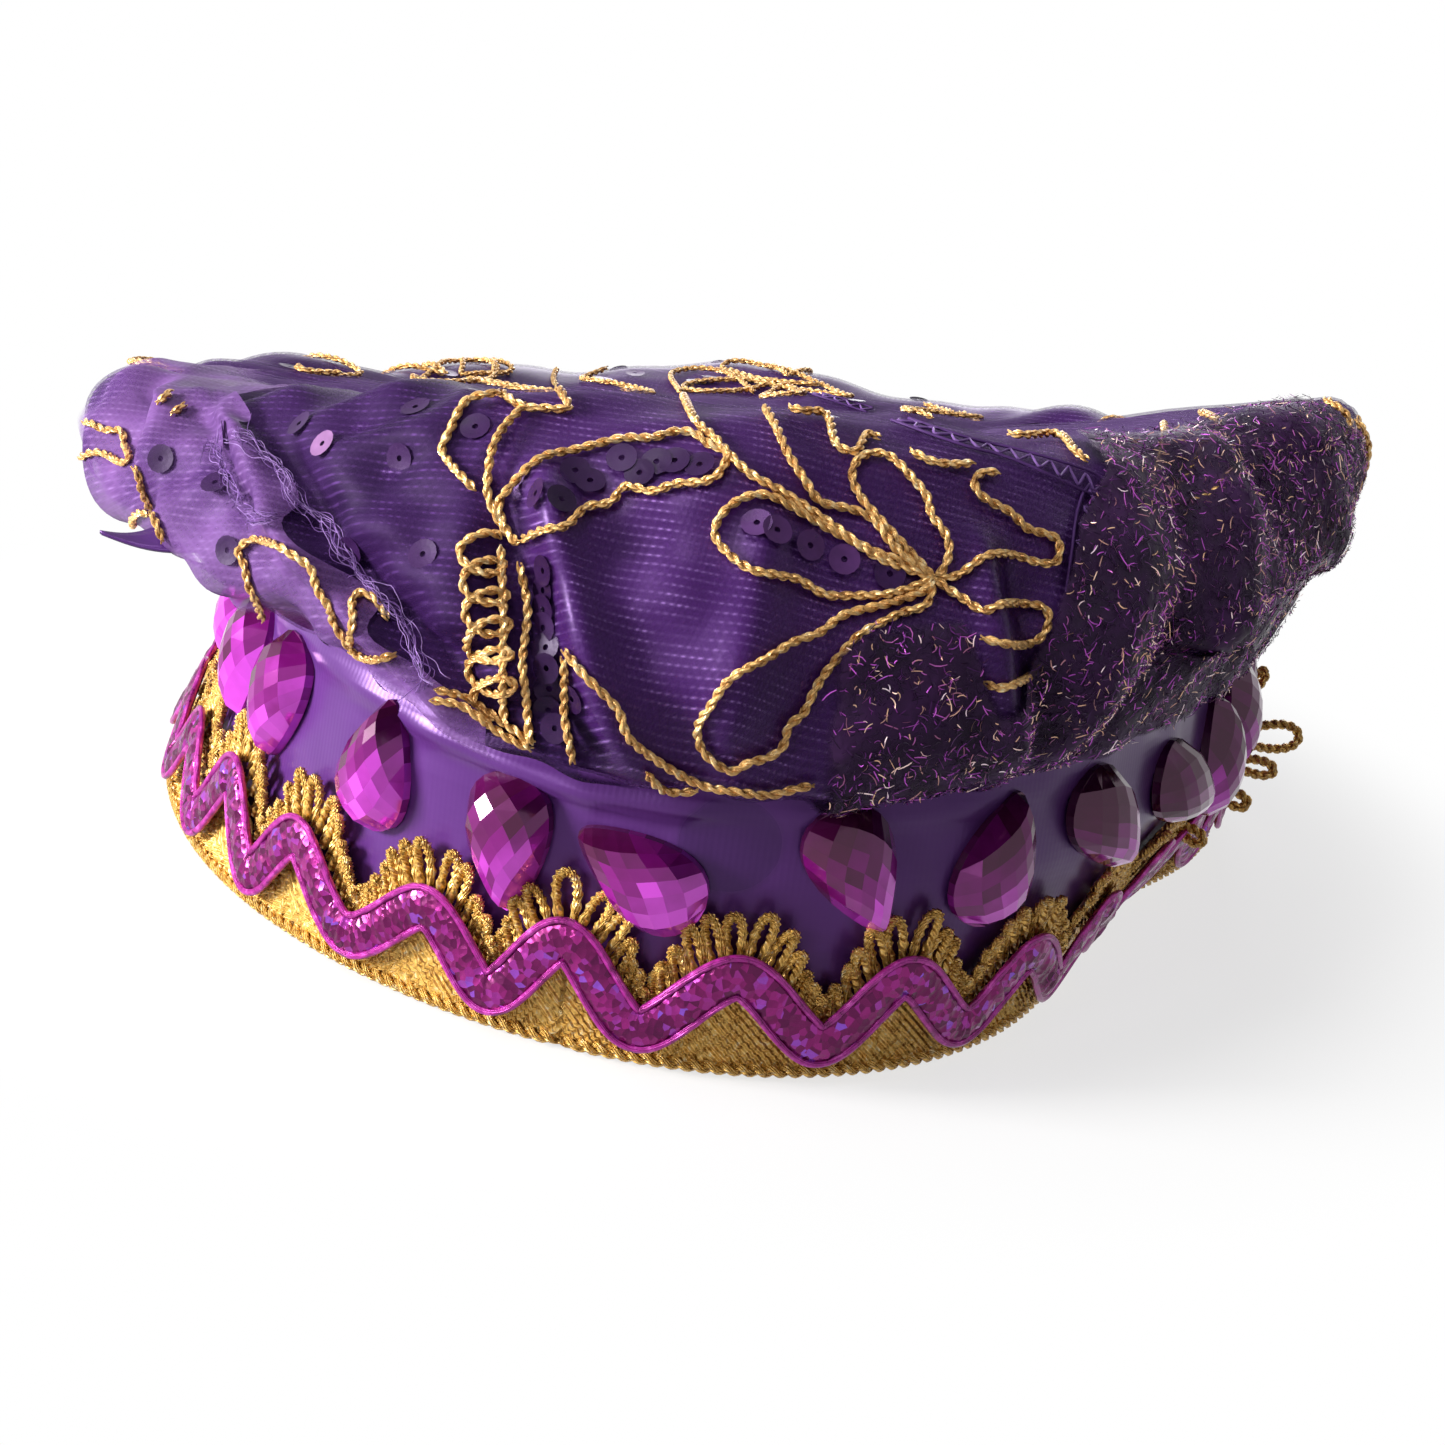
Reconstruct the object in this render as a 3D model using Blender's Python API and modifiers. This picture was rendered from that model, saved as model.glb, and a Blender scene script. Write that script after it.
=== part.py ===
"""Soft costume cap: a stiffened satin band with glued teardrop jewels and a gold braid round its foot,
under a wide drooping crown of satin and net with gold cord embroidery.

Metres, +Z up. The front of the cap faces -Y, and the cap stands on its band at z = 0. Angles go round
the cap from its right side, so 90 is the back, 180 the left and 270 the front.
"""
import math

import bmesh
import bpy
import numpy as np
from mathutils import Vector
from mathutils.bvhtree import BVHTree

# Band: an oval for a 56 cm head, made of three layers. It is as high as the braid and the row of jewels
# that it carries
HEAD_HALF_WIDTH = 0.0805
HEAD_HALF_LENGTH = 0.0965
LINING_WALL = 0.0008
STIFFENER_WALL = 0.0018
SATIN_WALL = 0.0008
LAYER_GAP = 0.0004
TRIM_GAP = 0.0007
CROWN_GAP = 0.0006
HEM_LIFT = 0.0004

# The soft band stands out of round: pushed out in front, drawn in at the sides towards its top, and
# tucked under at the right of the front
BULGE_DEPTH = 0.007
BULGE_ANGLE = 288.0
BULGE_SPREAD = 28.0
LEFT_TAPER = 0.020
RIGHT_TAPER = 0.008
TUCK_DEPTH = 0.019
TUCK_ANGLE = 334.0
TUCK_SPREAD = 30.0
TUCK_OVER_BRAID = 0.0035

# Gold braid with a scalloped, fingered upper edge
BRAID_WALL = 0.0016
BRAID_REPEATS = 27
BRAID_VALLEY = 0.0120
BRAID_CREST = 0.0235
BRAID_FINGERS = 6
BRAID_FINGER_DEPTH = 0.0012
TUCK_TOP = BRAID_CREST + TUCK_OVER_BRAID

# Zigzag ribbon laid over the braid
RIBBON_WALL = 0.0012
RIBBON_WIDTH = 0.0070
RIBBON_MID_HEIGHT = 0.0105
RIBBON_SWING = 0.0050

# Teardrop jewels glued to the band
JEWEL_LENGTH = 0.0184
JEWEL_WIDTH = 0.0138
JEWEL_GIRDLE = 0.0012
JEWEL_RISE = 0.0044
JEWEL_TABLE = 0.52
JEWEL_SHOULDER = 0.0006
JEWEL_SIDES = 10
JEWEL_CLEARANCE = 0.0003
# Fullness of the teardrop's outline, and how much fuller its round end is than its point
TEARDROP_FULLNESS = 0.72
TEARDROP_LEAN = 0.34
# The stones' lower ends reach down between the braid's crests
JEWEL_FOOT_DROP = 0.0032
JEWEL_TOP_GAP = 0.0043
JEWEL_MID_HEIGHT = BRAID_CREST - JEWEL_FOOT_DROP + JEWEL_LENGTH / 2.0
BAND_HEIGHT = JEWEL_MID_HEIGHT + JEWEL_LENGTH / 2.0 + JEWEL_TOP_GAP
# The photographed jewels: angle round the band, drop below the row, then the turn of the point away from
# straight down. The others sit one to each of the braid's valleys, past those that the front takes up
FRONT_JEWELS = (
    (228.0, 0.0, 10.0), (238.2, 0.0, -8.0), (252.6, 0.0005, 172.0), (264.6, 0.0039, 6.0),
    (274.0, 0.0040, -118.0), (288.3, 0.0004, 30.0), (299.2, 0.0, 165.0), (311.0, -0.0013, 40.0),
    (326.0, -0.0005, 60.0),
)
FRONT_VALLEYS_RIGHT = 5
FRONT_VALLEYS_LEFT = 4

# Crown: eight stations round the cap, each with how far the rim reaches past the band, how far the
# rim rises over the band's top, how far the ridge lies inside the band, how far the ridge rises, and how
# far the underside hangs down (less than nothing where it is drawn up)
CROWN_STATIONS = (
    (0.013, 0.024, -0.006, 0.034, -0.008),
    (0.014, 0.004, 0.003, 0.011, -0.001),
    (0.014, -0.002, 0.008, 0.004, 0.0),
    (0.021, -0.005, 0.000, 0.002, 0.0),
    (0.038, 0.002, -0.023, 0.010, 0.0),
    (0.022, 0.010, -0.008, 0.021, -0.005),
    (0.011, 0.015, 0.014, 0.037, 0.0035),
    (0.010, 0.018, 0.010, 0.035, -0.006),
)
CROWN_CENTRE_RISE = 0.012
CROWN_CHEEK = 0.0035
CROWN_DROOP = 0.0028
# Two places on the crown's underside as shares of the reach, and the far one's share of the rim's rise
CROWN_NEAR = 0.2
CROWN_FAR = 0.75
CROWN_FAR_RISE = 0.45
CROWN_SATIN_WALL = 0.0008
NET_WALL = 0.0004
TINSEL_WALL = 0.0008
TINSEL_START = 306.0
TINSEL_END = 352.0
TINSEL_TOP = 5.0

# Gold cord sewn on the net
CORD_RADIUS = 0.0008
CAST_HEIGHT = 0.012
CORD_SEAT = 0.0006
FLOWER_ANGLE = 292.0
FLOWER_RUN = 0.031
FLOWER_HUB = 0.0060
FLOWER_ROOT = 0.0012
# Petals of the front flower: direction, length and half width
FLOWER_PETALS = (
    (16.0, 0.018, 0.0034), (70.0, 0.016, 0.0034), (118.0, 0.026, 0.0036),
    (163.0, 0.034, 0.0042), (212.0, 0.036, 0.0050), (318.0, 0.013, 0.0026),
)
LEAF_LEAN = 0.25
# Single leaves: name, angle, run up the crown from its seam, direction, half length and half width
LEAVES = (
    ("leaf_cord_front", 262.0, 0.036, 8.0, 0.0160, 0.0048),
    ("leaf_cord_front_left", 247.0, 0.024, 84.0, 0.0150, 0.0038),
    ("leaf_cord_left", 214.0, 0.016, 20.0, 0.0110, 0.0036),
    ("leaf_cord_right", 333.0, 0.027, 62.0, 0.0100, 0.0036),
    ("leaf_cord_right_rim", 8.0, 0.026, 60.0, 0.0120, 0.0038),
    ("leaf_cord_back_right", 52.0, 0.040, 30.0, 0.0150, 0.0046),
    ("leaf_cord_back", 96.0, 0.040, 150.0, 0.0150, 0.0046),
    ("leaf_cord_back_left", 140.0, 0.044, 35.0, 0.0150, 0.0046),
)

# How finely the soft forms are divided
AROUND = 96
CROWN_AROUND = 44
CROWN_KNOTS = 8
CROWN_ROWS = (0.0, 1.0, 1.7, 2.3, 2.7, 3.0, 3.3, 3.8, 4.4, 5.0, 5.5, 6.0, 6.5)
NET_FIRST_ROW = 1
BRAID_STEPS = 12
RIBBON_STEPS = 8
LEAF_POINTS = 22
PETAL_POINTS = 18
# Samples used to measure lengths, and the small steps used to find a surface's slope
GIRTH_SAMPLES = 1441
SECTION_SAMPLES = 281
ANGLE_STEP = 0.5
PLACE_STEP = 0.03

COLLECTION = "costume_cap"


def clear_scene():
    """Remove the objects of the start scene."""
    for leftover in list(bpy.data.objects):
        bpy.data.objects.remove(leftover, do_unlink=True)


def make_material(name, colour, roughness, metallic=0.0):
    """A Principled material with one colour, roughness and metallic value."""
    material = bpy.data.materials.new(name)
    material.use_nodes = True
    shader = material.node_tree.nodes["Principled BSDF"]
    shader.inputs["Base Color"].default_value = (*colour, 1.0)
    shader.inputs["Roughness"].default_value = roughness
    shader.inputs["Metallic"].default_value = metallic
    return material


def link_object(name, data, material):
    """Put mesh or curve data into the cap's collection under the node's name."""
    piece = bpy.data.objects.new(name, data)
    bpy.data.collections[COLLECTION].objects.link(piece)
    data.materials.append(material)
    return piece


def loft_object(name, rings, material, cap_point=None):
    """Loft quads between closed rings of points, one ring after the other.

    rings has the shape (rows, around, 3). With a cap point the last ring closes on that point. The
    result is an open surface, or a closed tube where the first ring comes again as the last.
    """
    mesh = bmesh.new()
    closed = np.allclose(rings[0], rings[-1])
    kept = rings[:-1] if closed else rings
    rows = [[mesh.verts.new(point) for point in ring] for ring in kept.tolist()]
    pairs = list(zip(rows, rows[1:]))
    if closed:
        pairs.append((rows[-1], rows[0]))
    for lower, upper in pairs:
        for i in range(len(lower)):
            j = (i + 1) % len(lower)
            mesh.faces.new((lower[i], lower[j], upper[j], upper[i]))
    if cap_point is not None:
        tip = mesh.verts.new(cap_point)
        for i in range(len(rows[-1])):
            j = (i + 1) % len(rows[-1])
            mesh.faces.new((rows[-1][i], rows[-1][j], tip))
    bmesh.ops.recalc_face_normals(mesh, faces=mesh.faces)
    bmesh.ops.triangulate(mesh, faces=mesh.faces[:], quad_method="SHORT_EDGE")
    data = bpy.data.meshes.new(name)
    mesh.to_mesh(data)
    mesh.free()
    data.shade_smooth()
    return link_object(name, data, material)


def thicken(piece, wall):
    """Give an open surface its wall, grown outwards."""
    shell = piece.modifiers.new("wall", "SOLIDIFY")
    shell.thickness = wall
    shell.offset = 1.0


def angle_gap(angle, centre):
    """Signed difference of two angles in degrees, between -180 and 180."""
    return (np.asarray(angle) - centre + 180.0) % 360.0 - 180.0


def band_radius(angle, height, offset):
    """Radius of the band's oval at an angle and height, offset outwards from the head's oval."""
    turn = np.radians(angle)
    half_width = HEAD_HALF_WIDTH + offset
    half_length = HEAD_HALF_LENGTH + offset
    oval = half_width * half_length / np.hypot(half_length * np.cos(turn), half_width * np.sin(turn))
    bulge = BULGE_DEPTH * np.exp(-((angle_gap(angle, BULGE_ANGLE) / BULGE_SPREAD) ** 2))
    side = np.where(np.cos(turn) > 0.0, RIGHT_TAPER, LEFT_TAPER)
    taper = side * np.cos(turn) ** 2 * np.asarray(height) / BAND_HEIGHT
    tuck = TUCK_DEPTH * np.exp(-((angle_gap(angle, TUCK_ANGLE) / TUCK_SPREAD) ** 2))
    return oval + bulge - taper - tuck * np.clip(1.0 - np.asarray(height) / TUCK_TOP, 0.0, 1.0)


def band_point(angle, height, offset):
    """Points on the band's oval, as an array whose last axis is x, y, z."""
    radius = band_radius(angle, height, offset)
    turn = np.radians(angle)
    height = np.broadcast_to(height, np.shape(radius))
    return np.stack([radius * np.cos(turn), radius * np.sin(turn), height], axis=-1)


STIFFENER_INNER = LINING_WALL + LAYER_GAP
STIFFENER_OUTER = STIFFENER_INNER + STIFFENER_WALL
SATIN_INNER = STIFFENER_OUTER + LAYER_GAP
SATIN_OUTER = SATIN_INNER + SATIN_WALL
BRAID_INNER = SATIN_OUTER + TRIM_GAP
BRAID_OUTER = BRAID_INNER + BRAID_WALL
RIBBON_INNER = BRAID_OUTER + LAYER_GAP
RIBBON_OUTER = RIBBON_INNER + RIBBON_WALL


def band_layer(name, inner, outer, foot, material):
    """One layer of the band: a wall between two ovals, from its foot to the band's top."""
    angles = np.linspace(0.0, 360.0, AROUND, endpoint=False)
    heights = (foot, TUCK_TOP, BAND_HEIGHT)
    inside = [band_point(angles, height, inner) for height in heights]
    outside = [band_point(angles, height, outer) for height in reversed(heights)]
    loop = inside + outside + inside[:1]
    return loft_object(name, np.stack(loop), material)


def girth_angles(height, offset, count):
    """Angles that share the girth at a height into equal arcs, starting at the front."""
    angles = np.linspace(270.0, 630.0, GIRTH_SAMPLES)
    points = band_point(angles, height, offset)
    steps = np.linalg.norm(np.diff(points, axis=0), axis=1)
    run = np.concatenate([[0.0], np.cumsum(steps)])
    return np.interp(np.arange(count) * run[-1] / count, run, angles)


def carried_strip(name, angles, low, high, inner, outer, material):
    """A flat strip carried round the band: low and high are its edge heights at each angle."""
    corners = [
        band_point(angles[0], low, inner), band_point(angles[0], low, outer),
        band_point(angles[1], high, outer), band_point(angles[1], high, inner),
    ]
    stations = np.stack(corners, axis=1)
    loop = np.concatenate([stations, stations[:1]])
    return loft_object(name, loop, material)


def gold_braid(material):
    """The gold braid: straight foot, scalloped top edge broken into fingers."""
    count = BRAID_REPEATS * BRAID_STEPS
    angles = girth_angles(BRAID_VALLEY, BRAID_OUTER, count)
    phase = np.arange(count) / BRAID_STEPS
    scallop = np.abs(np.cos(math.pi * phase))
    finger = 0.5 - 0.5 * np.cos(2.0 * math.pi * BRAID_FINGERS * phase)
    top = BRAID_VALLEY + (BRAID_CREST - BRAID_VALLEY) * scallop - BRAID_FINGER_DEPTH * finger
    foot = np.full(count, HEM_LIFT)
    return carried_strip("gold_braid", (angles, angles), foot, top, BRAID_INNER, BRAID_OUTER, material)


def zigzag_ribbon(material):
    """The ribbon: a zigzag line of even width, with its crests under the braid's crests."""
    count = BRAID_REPEATS * RIBBON_STEPS
    angles = girth_angles(RIBBON_MID_HEIGHT, RIBBON_OUTER, count)
    phase = np.arange(count) / RIBBON_STEPS
    wave = np.cos(2.0 * math.pi * phase)
    zigzag = RIBBON_MID_HEIGHT + RIBBON_SWING * np.sin(math.pi / 2.0 * wave)
    half = RIBBON_WIDTH / 2.0
    return carried_strip("zigzag_ribbon", (angles, angles), zigzag - half, zigzag + half,
                         RIBBON_INNER, RIBBON_OUTER, material)


def teardrop(scale, rise):
    """A teardrop ring, point at -Y, round at +Y, shrunk towards its middle and lifted by rise."""
    turn = np.linspace(0.0, 2.0 * math.pi, JEWEL_SIDES, endpoint=False) + math.pi / JEWEL_SIDES
    fullness = TEARDROP_FULLNESS + TEARDROP_LEAN * np.cos(turn)
    across = JEWEL_WIDTH / 2.0 * np.sin(turn) * fullness
    along = JEWEL_LENGTH / 2.0 * np.cos(turn)
    return np.stack([scale * across, scale * along, np.full_like(turn, rise)], axis=-1)


def unit(vector):
    """A vector at length one."""
    return vector / np.linalg.norm(vector)


def jewel(name, angle, drop, turn, material):
    """A faceted teardrop with a flat back, turned about its middle and seated on the band."""
    rings = np.stack([
        teardrop(1.0, 0.0), teardrop(1.0, JEWEL_GIRDLE),
        teardrop((1.0 + JEWEL_TABLE) / 2.0, 0.5 * (JEWEL_GIRDLE + JEWEL_RISE) + JEWEL_SHOULDER),
        teardrop(JEWEL_TABLE, JEWEL_RISE),
    ])
    seat = SATIN_OUTER + JEWEL_CLEARANCE
    height = JEWEL_MID_HEIGHT - drop
    middle = band_point(np.array(angle), height, seat)
    right = unit(band_point(np.array(angle + ANGLE_STEP), height, seat) - middle)
    outward = unit(np.cross(right, band_point(np.array(angle), BAND_HEIGHT, seat) - middle))
    up = np.cross(outward, right)
    spin = math.radians(turn)
    side = right * math.cos(spin) + up * math.sin(spin)
    top = up * math.cos(spin) - right * math.sin(spin)
    placed = middle + rings @ np.stack([side, top, outward])
    mesh = bmesh.new()
    rows = [[mesh.verts.new(point) for point in ring] for ring in placed.tolist()]
    for lower, upper in zip(rows, rows[1:]):
        for i in range(JEWEL_SIDES):
            j = (i + 1) % JEWEL_SIDES
            mesh.faces.new((lower[i], lower[j], upper[j], upper[i]))
    mesh.faces.new(rows[0])
    mesh.faces.new(rows[-1])
    bmesh.ops.recalc_face_normals(mesh, faces=mesh.faces)
    data = bpy.data.meshes.new(name)
    mesh.to_mesh(data)
    mesh.free()
    return link_object(name, data, material)


def jewel_row(material):
    """The photographed jewels, with their gap, and one in each valley of the braid round the back."""
    valleys = girth_angles(BRAID_VALLEY, BRAID_OUTER, 2 * BRAID_REPEATS)[1::2]
    places = list(FRONT_JEWELS)
    for i, angle in enumerate(valleys[FRONT_VALLEYS_RIGHT:BRAID_REPEATS - FRONT_VALLEYS_LEFT]):
        places.append((angle, 0.0, 0.0 if i % 2 else 180.0))
    for i, (angle, drop, turn) in enumerate(places):
        jewel(f"jewel_{i + 1:02d}", angle, drop, turn, material)


def station_values(angle):
    """The crown's sizes at an angle, by a closed smooth curve through the eight stations."""
    table = np.array(CROWN_STATIONS)
    count = len(table)
    place = (np.asarray(angle) % 360.0) * count / 360.0
    index = np.floor(place).astype(int)
    t = (place - index)[..., None]
    before, here = table[(index - 1) % count], table[index % count]
    after, beyond = table[(index + 1) % count], table[(index + 2) % count]
    slope_here, slope_after = (after - before) / 2.0, (beyond - here) / 2.0
    return ((2 * t**3 - 3 * t**2 + 1) * here + (t**3 - 2 * t**2 + t) * slope_here
            + (3 * t**2 - 2 * t**3) * after + (t**3 - t**2) * slope_after)


def crown_knots(angle):
    """Knots of the crown's section at one angle, from the seam on the band to the middle of the top."""
    reach, rim_rise, inset, ridge_rise, hang = station_values(angle)
    band = float(band_radius(angle, BAND_HEIGHT, SATIN_OUTER))
    seam = BAND_HEIGHT + LAYER_GAP + CROWN_SATIN_WALL
    rim_height = BAND_HEIGHT + rim_rise
    far_height = seam + CROWN_FAR_RISE * (rim_height - seam)
    ridge = band - inset
    ridge_height = BAND_HEIGHT + ridge_rise
    centre_height = BAND_HEIGHT + CROWN_CENTRE_RISE
    cheek = 0.5 * (band + reach + ridge)
    cheek_height = 0.5 * (rim_height + ridge_height)
    return np.array([
        (band - STIFFENER_WALL, seam),
        (band + CROWN_NEAR * reach, seam - CROWN_NEAR * CROWN_DROOP),
        (band + CROWN_FAR * reach, far_height - CROWN_DROOP - hang),
        (band + reach, rim_height),
        (cheek + CROWN_CHEEK, cheek_height + CROWN_CHEEK),
        (ridge, ridge_height),
        (0.5 * ridge, 0.5 * (ridge_height + centre_height)),
        (0.0, centre_height),
    ])


def crown_points(angle, places):
    """Points of the crown's inner face at one angle: a smooth curve through the section's knots.

    A place counts knots from the seam, so 3 is the rim and 5 the ridge.
    """
    knots = crown_knots(angle)
    padded = np.vstack([2.0 * knots[0] - knots[1], knots, 2.0 * knots[-1] - knots[-2]])
    places = np.asarray(places, dtype=float)
    index = np.minimum(places.astype(int), len(knots) - 2)
    t = (places - index)[:, None]
    a, b, c, d = (padded[index + k] for k in range(4))
    curve = 0.5 * (2 * b + (c - a) * t + (2 * a - 5 * b + 4 * c - d) * t**2 + (3 * b - a - 3 * c + d) * t**3)
    turn = math.radians(angle)
    return np.stack([curve[:, 0] * math.cos(turn), curve[:, 0] * math.sin(turn), curve[:, 1]], axis=-1)


def crown_normals(angle, places):
    """Outward normals of the crown's face, from small steps round it and along its section."""
    places = np.asarray(places, dtype=float)
    around = crown_points(angle + ANGLE_STEP, places) - crown_points(angle - ANGLE_STEP, places)
    before = np.maximum(places - PLACE_STEP, 0.0)
    along = crown_points(angle, places + PLACE_STEP) - crown_points(angle, before)
    normal = np.cross(around, along)
    return normal / np.linalg.norm(normal, axis=-1, keepdims=True)


def crown_place(angle, run):
    """The place on the section at a distance along it from the seam."""
    places = np.linspace(0.0, CROWN_KNOTS - 1, SECTION_SAMPLES)
    steps = np.linalg.norm(np.diff(crown_points(angle, places), axis=0), axis=1)
    return float(np.interp(run, np.concatenate([[0.0], np.cumsum(steps)]), places))


def crown_grid(first_row, offset):
    """Grid of points outside the crown's inner face, by rows from the seam and columns round it."""
    rows = CROWN_ROWS[first_row:]
    columns = [crown_points(angle, rows) + offset * crown_normals(angle, rows) for angle in crown_angles()]
    return np.stack(columns, axis=1)


def crown_angles():
    """The angles of the crown's columns."""
    return np.linspace(0.0, 360.0, CROWN_AROUND, endpoint=False)


def crown_layer(name, offset, wall, material, first_row=0):
    """A layer of the crown, whose inner face lies outside the crown's own inner face."""
    centre = (0.0, 0.0, BAND_HEIGHT + CROWN_CENTRE_RISE + offset)
    piece = loft_object(name, crown_grid(first_row, offset), material, cap_point=centre)
    thicken(piece, wall)
    return piece


def surface_of(piece):
    """Search tree of a finished piece."""
    bpy.context.view_layer.update()
    return BVHTree.FromObject(piece, bpy.context.evaluated_depsgraph_get())


def surface_spot(trees, angle, run, lift):
    """Point over the crown at an angle and a run from the seam, lifted off the outermost layer."""
    place = [crown_place(angle, run)]
    point = Vector(crown_points(angle, place)[0].tolist())
    normal = Vector(crown_normals(angle, place)[0].tolist())
    start = point + normal * CAST_HEIGHT
    hits = [tree.ray_cast(start, -normal) for tree in trees]
    depth = min(hit[3] for hit in hits if hit[0] is not None)
    return start + normal * (lift - depth)


def cord_loop(name, outline, angle, run, trees, material):
    """A closed cord laid on the crown: outline holds (around, up) distances from its middle."""
    radius = float(band_radius(angle, BAND_HEIGHT, SATIN_OUTER))
    lift = CORD_RADIUS + CORD_SEAT
    points = []
    for around, up in outline:
        turn = angle + math.degrees(around / radius)
        points.append(surface_spot(trees, turn, run + up, lift))
    data = bpy.data.curves.new(name, "CURVE")
    data.dimensions = "3D"
    data.bevel_depth = CORD_RADIUS
    data.bevel_resolution = 1
    spline = data.splines.new("POLY")
    spline.points.add(len(points) - 1)
    for slot, point in zip(spline.points, points):
        slot.co = (*point, 1.0)
    spline.use_cyclic_u = True
    return link_object(name, data, material)


def turned(along, across, direction):
    """Turn distances along and across a direction into distances around and up."""
    turn = math.radians(direction)
    return (along * math.cos(turn) - across * math.sin(turn),
            along * math.sin(turn) + across * math.cos(turn))


def leaf_outline(direction, half_length, half_width):
    """A pointed oval: along follows a cosine, across a sine that thins towards both ends."""
    outline = []
    for i in range(LEAF_POINTS):
        phase = 2.0 * math.pi * i / LEAF_POINTS
        across = half_width * math.sin(phase) * (1.0 - LEAF_LEAN * math.cos(phase))
        outline.append(turned(half_length * math.cos(phase), across, direction))
    return outline


def flower_outline():
    """One unbroken line round all petals, each leaving and meeting the hub side by side."""
    outline = []
    for direction, length, half_width in FLOWER_PETALS:
        for i in range(PETAL_POINTS):
            phase = i / (PETAL_POINTS - 1)
            along = FLOWER_HUB + (length - FLOWER_HUB) * math.sin(math.pi * phase)
            across = -FLOWER_ROOT * (1.0 - 2.0 * phase) - half_width * math.sin(2.0 * math.pi * phase)
            outline.append(turned(along, across, direction))
    return outline


def tinsel_panel(material):
    """Patch of dark tinsel net over the right of the front, laid on the net from hem to ridge."""
    grid = crown_grid(NET_FIRST_ROW, CROWN_SATIN_WALL + NET_WALL + 2.0 * CROWN_GAP)
    angles = crown_angles()
    columns = np.flatnonzero((angles >= TINSEL_START) & (angles <= TINSEL_END))
    rows = np.flatnonzero(np.array(CROWN_ROWS[NET_FIRST_ROW:]) <= TINSEL_TOP)
    patch = grid[np.ix_(rows, columns)]
    mesh = bmesh.new()
    verts = [[mesh.verts.new(point) for point in row] for row in patch.tolist()]
    for lower, upper in zip(verts, verts[1:]):
        for i in range(len(columns) - 1):
            mesh.faces.new((lower[i], lower[i + 1], upper[i + 1], upper[i]))
    data = bpy.data.meshes.new("tinsel_panel")
    mesh.to_mesh(data)
    mesh.free()
    data.shade_smooth()
    piece = link_object("tinsel_panel", data, material)
    thicken(piece, TINSEL_WALL)
    return piece


def centre_cap():
    """Move the whole cap sideways so that the middle of its box stands over the origin."""
    pieces = list(bpy.data.collections[COLLECTION].objects)
    bpy.context.view_layer.update()
    graph = bpy.context.evaluated_depsgraph_get()
    spots = [vertex.co[:] for piece in pieces for vertex in piece.evaluated_get(graph).to_mesh().vertices]
    middle = 0.5 * (np.min(spots, axis=0) + np.max(spots, axis=0))
    root = bpy.data.objects.new("cap_root", None)
    root.location = (-middle[0], -middle[1], 0.0)
    bpy.data.collections[COLLECTION].objects.link(root)
    for piece in pieces:
        piece.parent = root


def build():
    """Make every piece of the cap."""
    clear_scene()
    bpy.context.scene.collection.children.link(bpy.data.collections.new(COLLECTION))
    lining = make_material("purple_lining", (0.10, 0.04, 0.20), 0.7)
    canvas = make_material("stiff_canvas", (0.75, 0.72, 0.66), 0.8)
    satin = make_material("purple_satin", (0.09, 0.025, 0.22), 0.32)
    net = make_material("purple_net", (0.07, 0.02, 0.16), 0.6)
    tinsel = make_material("tinsel_net", (0.03, 0.01, 0.06), 0.4, 0.3)
    gold = make_material("gold_braid_metal", (0.62, 0.40, 0.08), 0.35, 1.0)
    cord = make_material("gold_cord_metal", (0.70, 0.47, 0.18), 0.4, 1.0)
    ribbon = make_material("magenta_ribbon", (0.36, 0.03, 0.32), 0.3, 0.5)
    gem = make_material("purple_jewel", (0.28, 0.02, 0.33), 0.08)

    band_layer("band_lining", 0.0, LINING_WALL, HEM_LIFT, lining)
    band_layer("band_stiffener", STIFFENER_INNER, STIFFENER_OUTER, 0.0, canvas)
    band_layer("band_satin", SATIN_INNER, SATIN_OUTER, HEM_LIFT, satin)
    gold_braid(gold)
    zigzag_ribbon(ribbon)
    jewel_row(gem)

    crown_layer("crown_satin", 0.0, CROWN_SATIN_WALL, satin)
    overlay = crown_layer("net_overlay", CROWN_SATIN_WALL + CROWN_GAP, NET_WALL, net, NET_FIRST_ROW)
    panel = tinsel_panel(tinsel)

    trees = [surface_of(overlay), surface_of(panel)]
    cord_loop("flower_cord", flower_outline(), FLOWER_ANGLE, FLOWER_RUN, trees, cord)
    for name, angle, run, direction, half_length, half_width in LEAVES:
        outline = leaf_outline(direction, half_length, half_width)
        cord_loop(name, outline, angle, run, trees, cord)

    centre_cap()


build()
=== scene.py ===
"""Studio scene of a soft costume cap: a satin band with teardrop jewels, gold braid and a zigzag ribbon,
under a wide drooping crown of satin and net with tinsel, sequins and gold cord embroidery. Metres, in the
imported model's frame. Angles go round the cap from its right side: 90 is the back, 180 the left and 270
the front. A place counts the knots of the crown's section from its seam: 3 is the rim, 5 the ridge."""
import math

import bpy
import numpy as np
from mathutils import Matrix, Vector
from mathutils.bvhtree import BVHTree


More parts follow.
